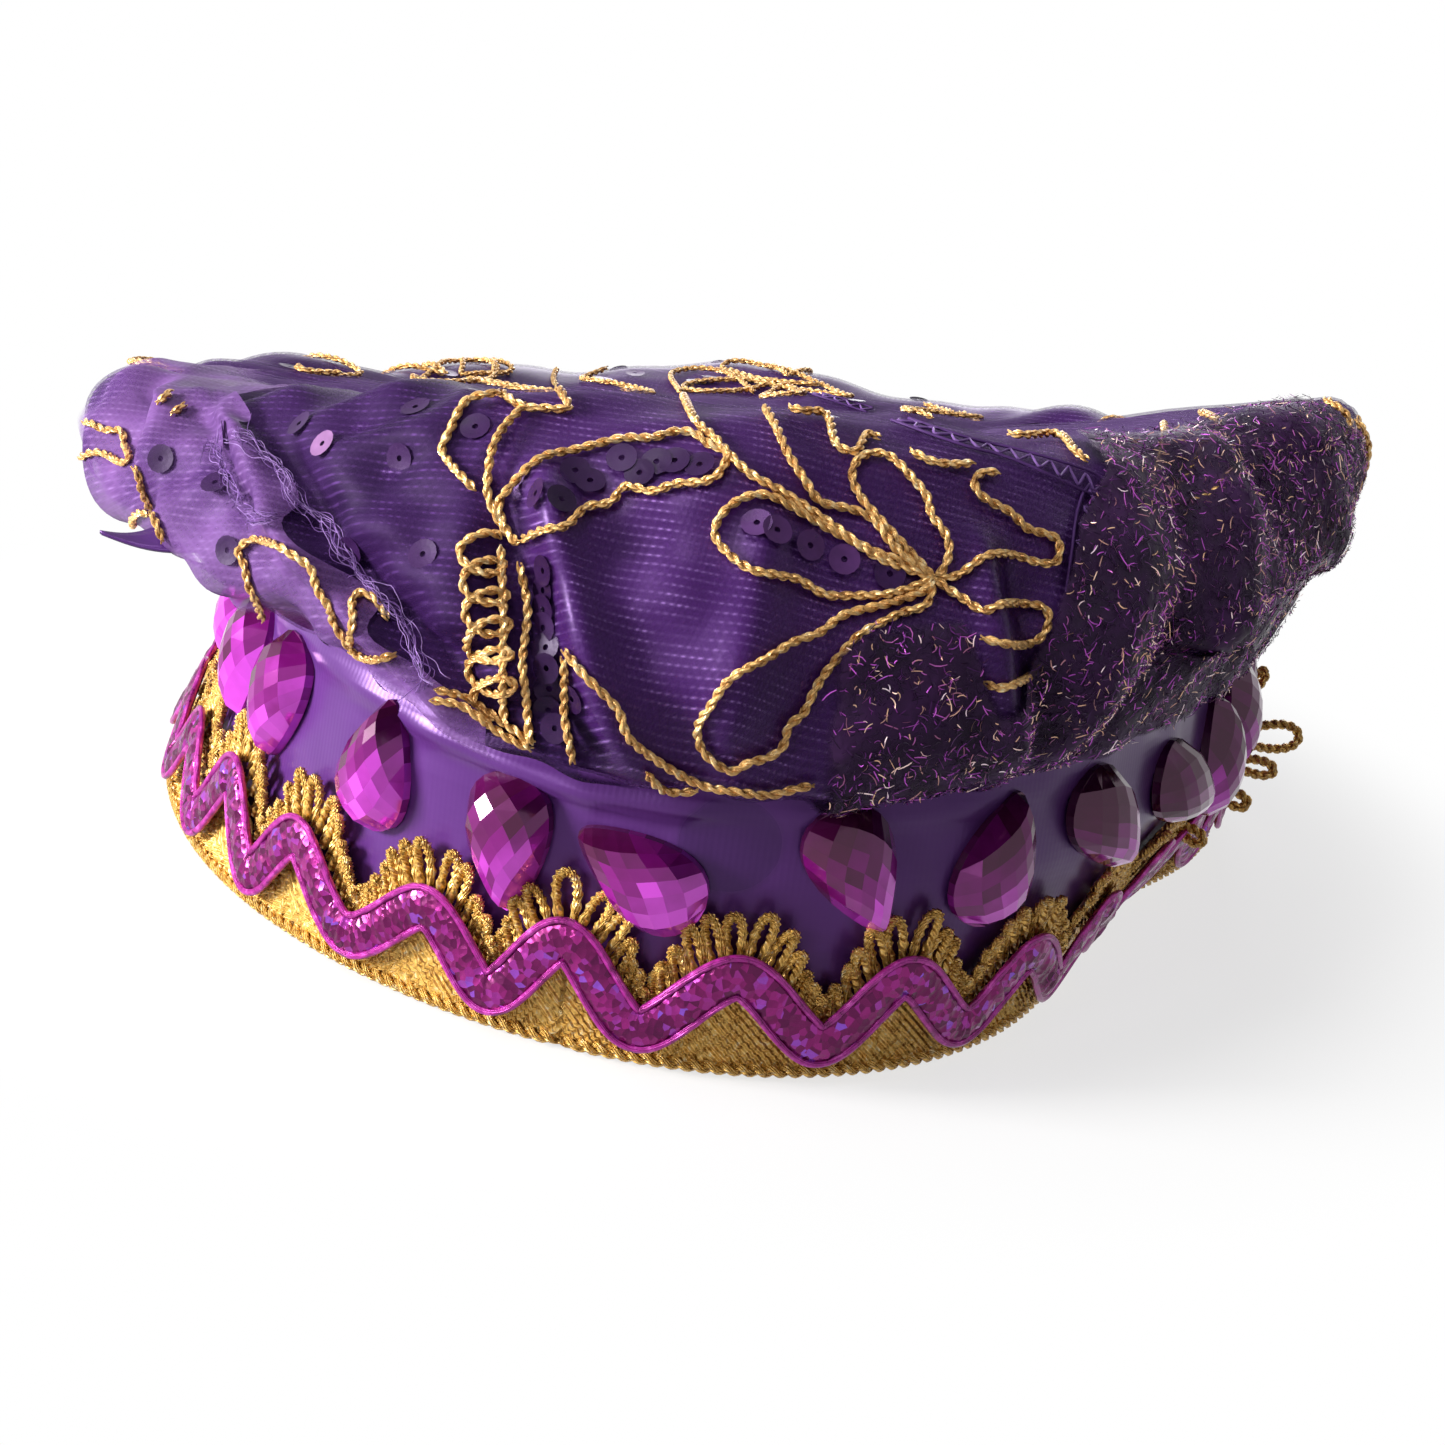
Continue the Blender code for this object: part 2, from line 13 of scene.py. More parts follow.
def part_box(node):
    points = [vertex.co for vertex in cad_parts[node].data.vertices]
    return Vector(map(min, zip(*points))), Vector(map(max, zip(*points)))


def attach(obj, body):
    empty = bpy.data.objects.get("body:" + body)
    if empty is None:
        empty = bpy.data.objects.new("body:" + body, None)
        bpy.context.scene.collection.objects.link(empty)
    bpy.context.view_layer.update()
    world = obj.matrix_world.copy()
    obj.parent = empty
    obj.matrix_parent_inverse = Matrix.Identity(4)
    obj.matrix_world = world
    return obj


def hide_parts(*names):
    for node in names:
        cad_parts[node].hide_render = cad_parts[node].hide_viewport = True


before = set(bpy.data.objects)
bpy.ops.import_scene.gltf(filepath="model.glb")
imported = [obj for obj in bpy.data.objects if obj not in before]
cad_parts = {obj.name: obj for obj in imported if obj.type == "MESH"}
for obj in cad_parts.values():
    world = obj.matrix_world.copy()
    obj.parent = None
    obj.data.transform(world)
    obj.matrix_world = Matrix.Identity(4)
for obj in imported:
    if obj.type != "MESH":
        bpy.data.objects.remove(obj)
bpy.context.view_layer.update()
chance = np.random.default_rng(19)
FULL_TURN = 2.0 * math.pi

# The band's oval and layers, as in the part's source
HEAD_HALF_WIDTH = 0.0805
HEAD_HALF_LENGTH = 0.0965
BAND_HEIGHT = 0.043
HEM_LIFT = 0.0004
LINING_OFFSET = 0.0002
STIFFENER_OUTER = 0.0030
SATIN_OUTER = 0.0042
BRAID_INNER = 0.0049
BRAID_OUTER = 0.0065
RIBBON_INNER = 0.0069
BULGE = (0.007, 288.0, 28.0)
LEFT_TAPER = 0.020
RIGHT_TAPER = 0.008
TUCK = (0.019, 334.0, 30.0)
TUCK_TOP = 0.027
# Metres of cloth for each radian round the band
BAND_GIRTH = 0.09
# Walls of the cloths
BAND_WALL = 0.0006
LINING_WALL = 0.0005
CROWN_WALL = 0.0005
# Ripples of the band's satin: slack, sag near its top, and the roll at the front with the furrow below it
SLACK_DEPTH = 0.00016
SAG_DEPTH = 0.00045
SAG_HEIGHT, SAG_SPREAD = 0.0375, 0.006
ROLL_DEPTH, FURROW_DEPTH = 0.0020, 0.0006
ROLL_SPREAD, FURROW_DROP = 0.0016, 0.0026
ROLL_ANGLES = (240, 252, 262, 270, 276, 281, 288, 300)
ROLL_HEIGHTS = (0.0385, 0.0368, 0.0356, 0.0344, 0.0350, 0.0360, 0.0354, 0.0375)
DEEPEST_RIPPLE = 0.0001
LINING_RIPPLE = 0.00012

# The trim round the band's foot
BRAID_REPEATS = 27
BRAID_VALLEY = 0.0120
RIBBON_MID = 0.0105
RIBBON_SWING = 0.0045
RIBBON_HALF = 0.0027
RIBBON_SEAT, RIBBON_DOME, RIBBON_BELLY, RIBBON_UNEVEN = 0.0007, 0.0011, 0.0005, 0.00016
PIPING_SEAT, PIPING_RADIUS = 0.0011, 0.0005
FINGERS = 12
LOOP_SHORT = 0.0042
LOOP_LONG = 0.0066
LOOP_HALF = 0.00055
LOOP_TUCK = 0.0010
LOOP_POINTS = 37
LOOP_STAND = 0.0009
LOOP_UNEVEN, LOOP_ASTRAY = 0.0004, 0.008
BEAD_SWELL, BEAD_WAIST = 1.25, 0.86
BEAD_RADIUS = 0.00064
GROUND_FOOT, GROUND_SEAT, GROUND_GRAIN, GROUND_UNEVEN = 0.0008, 0.0003, 0.0006, 0.0004
FOOT_HEIGHT, FOOT_SEAT, FOOT_RADIUS, FOOT_PITCH = 0.0012, 0.0010, 0.0009, 0.0040
STRAY_SEAT, STRAY_RADIUS, STRAY_PITCH = 0.0008, 0.0008, 0.0026
REPEAT_STEP = FULL_TURN * 0.092 / BRAID_REPEATS
# Loops of the braid that have sprung out at the right: angle and height of the foot, reach outwards, rise
# and half width
STRAY_LOOPS = (
    (12.0, 0.0205, 0.0055, 0.0095, 0.0009), (6.0, 0.0205, 0.0115, 0.0030, 0.0021),
    (358.0, 0.0205, 0.0085, 0.0016, 0.0012), (350.0, 0.0195, 0.0070, 0.0010, 0.0011),
    (344.0, 0.0150, 0.0050, 0.0008, 0.0010),
)

# The jewels
JEWEL_LENGTH = 0.0184
JEWEL_WIDTH = 0.0150
JEWEL_GIRDLE = 0.0012
JEWEL_RISE = 0.0046
JEWEL_MID = 0.0295
JEWEL_CUTS = 8
# Angle, drop below the row and turn of the point away from straight down
FRONT_JEWELS = (
    (228.0, 0.0, 10.0), (238.2, 0.0, -8.0), (252.6, 0.0005, 172.0), (264.6, 0.0039, 6.0),
    (274.0, 0.0040, -118.0), (288.3, 0.0004, 30.0), (299.2, 0.0, 165.0), (311.0, -0.0013, 40.0),
    (326.0, -0.0005, 60.0),
)
FRONT_VALLEYS = (5, 4)
LOST_JEWEL = (279.6, 0.0310)

# The crown: reach past the band, rim rise, ridge inset, ridge rise and hang at eight stations
CROWN_STATIONS = np.array([
    (0.013, 0.024, -0.006, 0.034, -0.008), (0.014, 0.004, 0.003, 0.011, -0.001),
    (0.014, -0.002, 0.008, 0.004, 0.0), (0.021, -0.005, 0.000, 0.002, 0.0),
    (0.038, 0.002, -0.023, 0.010, 0.0), (0.022, 0.010, -0.008, 0.021, -0.005),
    (0.011, 0.015, 0.014, 0.037, 0.0035), (0.010, 0.018, 0.010, 0.035, -0.006),
])
# Where the crown's lower edge is drawn up, or hangs lower: angle, spread and lift
EDGE_LIFTS = ((251.0, 9.0, 0.0045), (321.0, 15.0, 0.0050), (284.0, 13.0, -0.0036))
# The front of the crown bags out over the band: share of the reach, angle and spread
FRONT_BAG = (0.22, 277.0, 24.0)
SEAM_HEIGHT = 0.0442
SEAM_INSET = 0.0018
CENTRE_RISE = 0.012
CHEEK = 0.0035
DROOP = 0.0028
ROOF_MIDDLE, ROOF_CENTRE = 6, 7
SATIN_LIFT = 0.0010
NET_LIFT = 0.0014
FOLD_GAP = 0.0009
TINSEL_LIFT = 0.0026
GATHER_DEPTH, WAVE_DEPTH, CRUMPLE_DEPTH, FINE_DEPTH = 0.00040, 0.00055, 0.00022, 0.00020
CREASE_FADE = 0.7
# Creases of the crown: angle, slant per place, first and last place, depth and spread in degrees
CREASES = (
    (269.0, -4.4, 1.9, 4.4, 0.0030, 1.3), (266.2, -4.4, 1.7, 4.3, -0.0022, 1.8),
    (273.0, -3.0, 1.6, 4.3, -0.0016, 2.6), (278.7, 0.8, 1.9, 4.3, 0.0018, 1.6),
    (283.0, 0.0, 1.4, 4.2, -0.0014, 2.6), (294.0, -1.5, 1.7, 4.2, 0.0026, 1.3),
    (297.3, -1.5, 1.4, 4.2, -0.0026, 1.8), (303.0, 2.0, 1.2, 4.8, 0.0020, 2.4),
    (249.0, -12.0, 1.9, 4.6, 0.0020, 1.8), (255.0, -12.0, 1.8, 4.4, -0.0030, 3.0),
    (243.0, -12.0, 2.2, 4.6, -0.0020, 2.6), (234.0, -10.0, 2.0, 4.8, 0.0022, 2.8),
    (226.0, -8.0, 2.0, 5.0, -0.0020, 3.4), (216.0, -6.0, 2.0, 5.0, 0.0020, 3.6),
    (310.0, 3.0, 1.2, 5.0, -0.0026, 3.0), (317.0, 3.0, 1.3, 5.2, 0.0022, 2.8),
    (327.0, -3.0, 1.4, 5.2, -0.0020, 3.4), (338.0, -3.0, 1.6, 5.2, 0.0020, 3.6),
    (352.0, 3.0, 1.6, 5.2, -0.0018, 4.0), (8.0, 3.0, 1.6, 5.2, 0.0018, 4.0),
    (30.0, 2.0, 1.8, 5.2, 0.0018, 5.0), (44.0, 2.0, 1.8, 5.2, -0.0018, 5.0),
    (60.0, 3.0, 2.0, 5.2, 0.0018, 5.0), (84.0, -3.0, 2.0, 5.2, -0.0016, 6.0),
    (102.0, -3.0, 2.0, 5.2, 0.0016, 5.0), (118.0, 3.0, 2.0, 5.2, -0.0014, 5.0),
    (134.0, 3.0, 2.0, 5.2, 0.0018, 6.0), (150.0, -4.0, 2.0, 5.2, -0.0014, 5.0),
    (164.0, -4.0, 2.0, 5.2, 0.0018, 5.0), (178.0, 3.0, 2.0, 5.2, -0.0018, 5.0),
    (194.0, 2.0, 2.0, 5.2, 0.0018, 4.0), (206.0, 2.0, 2.0, 5.2, -0.0018, 4.0),
)
# Further layers of the net at the left: piece, angle of the left edge at the rim and its slant for each
# place, the same of the right edge, first and last place, and the share of the way across where it thins
FOLD_RIM = 3.25
FOLD_STAND, FOLD_EDGE_RISE = 0.0007, 0.0009
# The fold's layer carries painted light and the tuck's layer painted shade, in their finishes.
NET_FOLDS = (
    ("net_fold_lit_cloth", 192.0, 0.0, 251.0, -12.0, 1.75, 5.5, 1.0),
    ("net_tuck_shade_cloth", 245.0, -12.0, 266.5, -4.4, 1.45, 5.4, 0.85),
)
# The tinsel's panel: its angles and places, and its top's place at these angles
TINSEL_ANGLES, TINSEL_PLACES = (282.0, 353.0), (1.05, 5.1)
TINSEL_STRANDS = 17000
STRAND_GAP, STRAND_HALF_WIDTH = 0.0002, 0.00007
STRAND_SHORT, STRAND_SPAN, STRAND_BEND, STRAND_STAND = 0.0005, 0.0017, 0.13, 0.0005
TINSEL_TOP_ANGLES = (283, 286, 291, 293.5, 296, 298, 300, 303, 306)
TINSEL_TOP_PLACES = (3.1, 3.3, 3.4, 2.7, 2.75, 3.3, 4.0, 4.4, 5.0)

# The gold cord: radius, the share of it that its middle lies above the cloth, and the length of a twist
CORD_RADIUS = 0.00056
CORD_SEAT = 0.9
CORD_PITCH = 0.0034
SEQUIN_RADIUS, SEQUIN_GAP = 0.0019, 0.0003
# Frayed threads and the hem's stitches
FRAY_RADIUS, FRAY_STEP, FRAY_THREADS = 0.00005, 0.0006, 12
FRAY_DRIFT, FRAY_SHIFT, FRAY_LIFT, FRAY_LOOSE = 0.0012, 0.0005, 0.0010, 0.0008
STITCH_RADIUS, STITCH_LENGTH, STITCH_STEP, STITCH_LIFT = 0.00022, 0.0026, 0.0004, 0.0004

# The middle of the head's oval in the model's frame, read off the stiffener's box
stiffener_low, stiffener_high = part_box("band_stiffener")
CAP_MIDDLE = np.array([
    stiffener_low[0] + HEAD_HALF_WIDTH + STIFFENER_OUTER,
    stiffener_high[1] - HEAD_HALF_LENGTH - STIFFENER_OUTER, 0.0,
])

# The photograph's camera: turned 8 degrees to the right, 19 up and rolled by 8, 42 cm from the cap
PHOTO_SIZE = 1445.0
EYE_TURN, EYE_RISE, EYE_ROLL = (math.radians(degrees) for degrees in (8.0, 19.0, 8.0))
EYE_DISTANCE = 0.42
EYE_TARGET = CAP_MIDDLE + (0.0, 0.0, 0.010)
PIXEL_SIZE = 0.000165
FOCAL_PIXELS = EYE_DISTANCE / PIXEL_SIZE
eye_back = np.array([
    math.sin(EYE_TURN) * math.cos(EYE_RISE), -math.cos(EYE_TURN) * math.cos(EYE_RISE), math.sin(EYE_RISE)])
eye_level = np.array([math.cos(EYE_TURN), math.sin(EYE_TURN), 0.0])
eye_upright = np.cross(eye_back, eye_level)
EYE_RIGHT = eye_level * math.cos(EYE_ROLL) + eye_upright * math.sin(EYE_ROLL)
EYE_UP = eye_upright * math.cos(EYE_ROLL) - eye_level * math.sin(EYE_ROLL)
EYE = EYE_TARGET + EYE_DISTANCE * eye_back


def unit(vectors):
    """Vectors at length one, along the last axis."""
    return vectors / np.maximum(np.linalg.norm(vectors, axis=-1, keepdims=True), 1e-12)


def swell(value, centre, spread):
    """A bell: e to the minus square of the distance from the centre over the spread."""
    return np.exp(-(((np.asarray(value, float) - centre) / spread) ** 2))


def angle_swell(angle, centre, spread):
    """The same bell over an angle that closes at 360 degrees."""
    return swell((np.asarray(angle, float) - centre + 180.0) % 360.0 - 180.0, 0.0, spread)


def ease(value, low, high):
    """Smooth step from 0 at low to 1 at high: t squared times (3 - 2 t)."""
    t = np.clip((np.asarray(value, float) - low) / (high - low), 0.0, 1.0)
    return t * t * (3.0 - 2.0 * t)


def paired(first, second):
    """Two sets of values side by side on a new last axis."""
    return np.stack(np.broadcast_arrays(first, second), axis=-1)


def circle(count):
    """Angles all the way round, in radians."""
    return np.linspace(0.0, FULL_TURN, count, endpoint=False)


def smooth_cubic(a, b, c, d, t):
    """A smooth curve from b to c at a share t of the way, shaped by the knots before and after: half of
    2b + (c - a) t + (2a - 5b + 4c - d) t squared + (3b - a - 3c + d) t cubed."""
    return 0.5 * (2 * b + (c - a) * t + (2 * a - 5 * b + 4 * c - d) * t**2 + (3 * b - a - 3 * c + d) * t**3)


def round_cap(radius, turn, height):
    """Points at a radius, an angle in radians and a height about the cap's middle."""
    return np.stack([radius * np.cos(turn), radius * np.sin(turn), height], axis=-1) + CAP_MIDDLE


def wave_set(shortest, longest):
    """Nine waves in all directions, with lengths between the two."""
    return unit(chance.normal(0.0, 1.0, (9, 3))) * (FULL_TURN / chance.uniform(shortest, longest, (9, 1)))


# Short crumples of the crown's cloth, and finer ones of the net's further layers
CRUMPLE_WAVES = wave_set(0.008, 0.022)
CRUMPLE_STARTS = chance.uniform(0.0, FULL_TURN, 9)
FINE_WAVES = wave_set(0.004, 0.010)


def crumple(points, waves):
    """A sum of sines, each of the way that a point lies along one wave."""
    return sum(np.sin(points @ wave + start) for wave, start in zip(waves, CRUMPLE_STARTS))


def band_radius(angle, height, offset):
    """Radius of the band: an oval, plus the bell of the front's bulge, less a lean towards the top that
    follows the squared cosine, less the bell of the tuck, which fades out at the tuck's top."""
    turn = np.radians(angle)
    height = np.asarray(height, float)
    wide, long = HEAD_HALF_WIDTH + offset, HEAD_HALF_LENGTH + offset
    oval = wide * long / np.hypot(long * np.cos(turn), wide * np.sin(turn))
    lean = np.where(np.cos(turn) > 0.0, RIGHT_TAPER, LEFT_TAPER) * np.cos(turn) ** 2 * height / BAND_HEIGHT
    tuck = TUCK[0] * angle_swell(angle, *TUCK[1:]) * np.clip(1.0 - height / TUCK_TOP, 0.0, 1.0)
    return oval + BULGE[0] * angle_swell(angle, *BULGE[1:]) - lean - tuck


def band_point(angle, height, offset):
    """Points of the band's wall at an angle and height, offset outwards from the head's oval."""
    angle, height, offset = np.broadcast_arrays(*(np.asarray(x, float) for x in (angle, height, offset)))
    return round_cap(band_radius(angle, height, offset), np.radians(angle), height)


def band_frame(angle, height, offset, step=0.4, rise=0.002):
    """Point, direction round, direction up and outward normal of the band's wall, from small steps on
    it."""
    angle, height = np.asarray(angle), np.asarray(height)
    here = band_point(angle, height, offset)
    along = unit(band_point(angle + step, height, offset) - band_point(angle - step, height, offset))
    outward = unit(np.cross(along, band_point(angle, height + rise, offset) - here))
    return here, along, np.cross(outward, along), outward


def girth_angles(height, offset, shares):
    """Angles at these shares of the girth, counted from the front, by the length run round the band."""
    angles = np.linspace(270.0, 630.0, 2881)
    steps = np.linalg.norm(np.diff(band_point(angles, height, offset), axis=0), axis=1)
    run = np.concatenate([[0.0], np.cumsum(steps)]) / steps.sum()
    return np.interp(np.asarray(shares) % 1.0, run, angles)


def crown_knots(angle):
    """The section's eight knots (radius, height) at each angle: seam, two underside knots, rim, cheek,
    ridge, middle of the roof and centre, from a closed smooth curve through the stations."""
    place = (np.asarray(angle, float) % 360.0) / 45.0
    index = np.floor(place).astype(int)
    stations = (CROWN_STATIONS[(index + k) % 8] for k in (-1, 0, 1, 2))
    sizes = smooth_cubic(*stations, (place - index)[..., None])
    reach, rim_rise, inset, ridge_rise, hang = np.moveaxis(sizes, -1, 0)
    for middle, spread, lift in EDGE_LIFTS:
        hang = hang - lift * angle_swell(angle, middle, spread)
    band = band_radius(angle, BAND_HEIGHT, SATIN_OUTER)
    bag = FRONT_BAG[0] * angle_swell(angle, *FRONT_BAG[1:])
    rim, top = BAND_HEIGHT + rim_rise, BAND_HEIGHT + ridge_rise
    far = SEAM_HEIGHT + 0.45 * (rim - SEAM_HEIGHT)
    ridge, centre = band - inset, BAND_HEIGHT + CENTRE_RISE
    return np.stack([paired(radius, height) for radius, height in (
        (band - SEAM_INSET, SEAM_HEIGHT),
        (band + 0.2 * reach, SEAM_HEIGHT - 0.2 * DROOP),
        (band + (0.75 + bag) * reach, far - DROOP - hang),
        (band + reach, rim),
        (0.5 * (band + reach + ridge) + CHEEK, 0.5 * (rim + top) + CHEEK),
        (ridge, top),
        (0.5 * ridge, 0.5 * (top + centre)),
        (0.0 * band, centre))], axis=-2)


def crown_skin(angle, place):
    """Points of the crown's inner face: a smooth curve through the section's knots, carried round the cap
    and levelled towards the roof's centre by the square of the way from the roof's middle."""
    angle, place = np.broadcast_arrays(np.asarray(angle, float), np.asarray(place, float))
    knots = crown_knots(angle)
    first = 2.0 * knots[..., :1, :] - knots[..., 1:2, :]
    last = 2.0 * knots[..., -1:, :] - knots[..., -2:-1, :]
    padded = np.concatenate([first, knots, last], axis=-2)
    index = np.clip(np.floor(place).astype(int), 0, ROOF_MIDDLE)
    four = (np.take_along_axis(padded, (index + k)[..., None, None], axis=-2)[..., 0, :] for k in range(4))
    radius, height = np.moveaxis(smooth_cubic(*four, (place - index)[..., None]), -1, 0)
    level = np.clip(place - ROOF_MIDDLE, 0.0, 1.0) ** 2
    return round_cap(radius, np.radians(angle), height + level * (knots[..., -1, 1] - height))


def crown_normal(angle, place, turn=0.5, step=0.03):
    """Outward normals of the crown's face, from small steps round it and along its section."""
    angle, place = np.asarray(angle), np.minimum(np.asarray(place, float), ROOF_CENTRE - 0.1)
    around = crown_skin(angle + turn, place) - crown_skin(angle - turn, place)
    along = crown_skin(angle, place + step) - crown_skin(angle, np.maximum(place - step, 0.0))
    return unit(np.cross(around, along))


def crown_folds(angle, place):
    """Depth of the cloth's folds: gathers that fade above the rim, slow waves on the cheek, short
    crumples, and creases, each a bell round a line that slants with the place."""
    turn = np.radians(angle)
    gathers = (np.sin(37 * turn + 2.2 * np.sin(3 * turn + 0.5))
               + 0.6 * np.sin(61 * turn + 1.7 * np.sin(5 * turn)))
    waves = np.sin(9 * turn + 1.4 * np.sin(2 * turn) + 0.9 * place) + 0.5 * np.sin(17 * turn - 1.3 * place)
    crumples = crumple(crown_skin(angle, place), CRUMPLE_WAVES)
    folds = (GATHER_DEPTH * gathers * ease(place, 0.3, 1.2) * (1.0 - ease(place, 2.2, 3.6))
             + WAVE_DEPTH * waves * ease(place, 2.0, 3.4) * (1.0 - ease(place, 4.4, 5.6))
             + CRUMPLE_DEPTH * crumples * ease(place, 1.6, 3.0) * (1.0 - ease(place, 6.0, 6.9)))
    for centre, slant, low, high, depth, spread in CREASES:
        line = angle_swell(np.asarray(angle) - slant * (place - 0.5 * (low + high)), centre, spread)
        shown = ease(place, low, low + CREASE_FADE) * (1.0 - ease(place, high - CREASE_FADE, high))
        folds = folds + depth * line * shown
    return folds


def crown_cloth(angle, place, lift):
    """Points of the crown's cloth at a lift over its inner face, folds included."""
    angle, place = np.broadcast_arrays(np.asarray(angle, float), np.asarray(place, float))
    depth = lift + crown_folds(angle, place)
    return crown_skin(angle, place) + depth[..., None] * crown_normal(angle, place)


def run_place(angle, run, steps=280):
    """The place at a run of cloth from the seam, by the lengths of small steps along each angle's
    section."""
    places = np.linspace(0.0, ROOF_CENTRE, steps + 1)
    angle, run = np.broadcast_arrays(np.asarray(angle, float), np.asarray(run, float))
    points = crown_skin(angle.ravel()[:, None], places[None, :])
    runs = np.cumsum(np.linalg.norm(np.diff(points, axis=1), axis=-1), axis=1)
    index = np.minimum((runs < run.ravel()[:, None]).sum(axis=1), steps - 1)
    return places[index + 1].reshape(run.shape)


def fan(corners):
    """Quads across a ring of corners, all from its first."""
    return np.array([(0, k, k + 1, k + 2) for k in range(1, corners - 2, 2)])


class Mesh:
    """Gathers vertices, quads and UVs of one piece, and turns them into an object."""

    def __init__(self):
        self.vertices, self.quads, self.uvs, self.tints, self.count = [], [], [], [], 0

    def add_faces(self, points, quads, uv, tints):
        """Ready vertices and quads, with a UV for each vertex and a tint for each quad."""
        self.vertices.append(points)
        self.quads.append(quads + self.count)
        self.uvs.append(uv)
        self.tints.append(tints)
        self.count += len(points)
        return self

    def add_grid(self, points, round_rows=False, round_columns=False, uv=None, tint=0.0, ends=False):
        """Quads between the neighbours of a (rows, columns, 3) grid, which face the way of the columns
        crossed with the way of the rows. A round grid joins its last row or column to its first. Ends
        closes an open tube, whose columns go round it, with quads across both ends."""
        rows, columns = points.shape[:2]
        index = np.arange(rows * columns).reshape(rows, columns)
        low = index if round_rows else index[:-1]
        high = np.roll(index, -1, axis=0) if round_rows else index[1:]
        near = (lambda a: a) if round_columns else (lambda a: a[:, :-1])
        far = (lambda a: np.roll(a, -1, axis=1)) if round_columns else (lambda a: a[:, 1:])
        quads = [np.stack([near(low), far(low), far(high), near(high)], axis=-1).reshape(-1, 4)]
        if ends:
            quads += [index[0][fan(columns)[:, ::-1]], index[-1][fan(columns)]]
        if uv is None:
            uv = paired(np.linspace(0.0, 1.0, rows)[:, None], np.linspace(0.0, 1.0, columns)[None, :])
        quads = np.concatenate(quads)
        return self.add_faces(points.reshape(-1, 3), quads, uv.reshape(-1, 2), np.full(len(quads), tint))

    def add_tube(self, path, normal, radius, sides, **extras):
        """A tube round a path, closed at both ends."""
        return self.add_grid(tube(path, normal, radius, sides), round_columns=True, ends=True, **extras)

    def finish(self, name, finish, slot, replaced=(), smooth=True):
        """The object, riding on the cap's body, in its finish and in place of the CAD nodes it stands
        for."""
        vertices, quads = np.concatenate(self.vertices), np.concatenate(self.quads)
        uvs, tints = np.concatenate(self.uvs), np.concatenate(self.tints)
        data = bpy.data.meshes.new(name)
        data.vertices.add(len(vertices))
        data.vertices.foreach_set("co", vertices.astype(np.float32).ravel())
        data.loops.add(quads.size)
        data.loops.foreach_set("vertex_index", quads.astype(np.int32).ravel())
        data.polygons.add(len(quads))
        data.polygons.foreach_set("loop_start", np.arange(0, quads.size, 4, dtype=np.int32))
        data.update(calc_edges=True)
        data.polygons.foreach_set("use_smooth", np.full(len(quads), smooth))
        layer = data.uv_layers.new(name="UVMap")
        layer.data.foreach_set("uv", uvs[quads.ravel()].astype(np.float32).ravel())
        shade = data.attributes.new("tint", "FLOAT", "FACE")
        shade.data.foreach_set("value", tints.astype(np.float32))
        data.materials.append(finish)
        data.validate()
        piece = bpy.data.objects.new(name, data)
        bpy.context.scene.collection.objects.link(piece)
        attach(piece, "root")
        if replaced:
            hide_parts(*replaced)
        return piece


def thicken(piece, wall):
    """Give a cloth surface its wall, grown inwards."""
    shell = piece.modifiers.new("wall", "SOLIDIFY")
    shell.thickness = wall
    shell.offset = -1.0


def sideways(path, normal):
    """Directions square to a path and to its normals."""
    return unit(np.cross(unit(np.gradient(path, axis=0)), normal))


def tube(path, normal, radius, sides):
    """Rings round a path: at each point a circle in the plane of the normal and the side, which is square
    to the path. The radius is one value or one for each point."""
    side = sideways(path, normal)
    up = np.cross(side, unit(np.gradient(path, axis=0)))
    radius = np.broadcast_to(radius, len(path))[:, None]
    return (path[:, None, :] + (radius * np.cos(circle(sides)))[..., None] * up[:, None, :]
            + (radius * np.sin(circle(sides)))[..., None] * side[:, None, :])


def resampled(path, normal, step):
    """A path and its normals at even steps of its length, and the length run up to each."""
    run = np.concatenate([[0.0], np.cumsum(np.linalg.norm(np.diff(path, axis=0), axis=1))])
    even = np.linspace(0.0, run[-1], max(int(run[-1] / step), 6))
    points, ups = (
        np.stack([np.interp(even, run, line[:, k]) for k in range(3)], axis=-1) for line in (path, normal))
    return points, unit(ups), even


def smoothed(values, passes=2):
    """Each inner point moved to a quarter, half and quarter of itself and its neighbours."""
    for _ in range(passes):
        inner = 0.25 * values[:-2] + 0.5 * values[1:-1] + 0.25 * values[2:]
        values = np.concatenate([values[:1], inner, values[-1:]])
    return values


def add_two_ply(mesh, path, normal, radius, pitch, sides=6):
    """A twisted cord: two plies whose middles circle the path at half its radius, once in each pitch, and
    which thin out at both ends."""
    points, ups, run = resampled(path, normal, pitch / 9.0)
    side = sideways(points, ups)
    taper = np.clip(np.minimum(run, run[-1] - run) / (1.5 * radius), 0.35, 1.0)
    uv = paired(run[:, None], np.linspace(0.0, 1.0, sides)[None, :])
    for start in (0.0, math.pi):
        phase = FULL_TURN * run / pitch + start
        swing = 0.50 * radius * (np.cos(phase)[:, None] * ups + np.sin(phase)[:, None] * side)
        mesh.add_tube(points + swing, ups, 0.56 * radius * taper, sides, uv=uv, tint=start)


def curve_through(knots, steps):
    """A smooth curve through knots in the plane, in so many steps from each knot to the next."""
    knots = np.asarray(knots, float)
    row = np.concatenate([2 * knots[:1] - knots[1:2], knots, 2 * knots[-1:] - knots[-2:-1]])
    t = np.linspace(0.0, 1.0, steps, endpoint=False)[None, :, None]
    four = (row[k:len(row) - 3 + k][:, None, :] for k in range(4))
    return np.concatenate([smooth_cubic(*four, t).reshape(-1, 2), knots[-1:]])


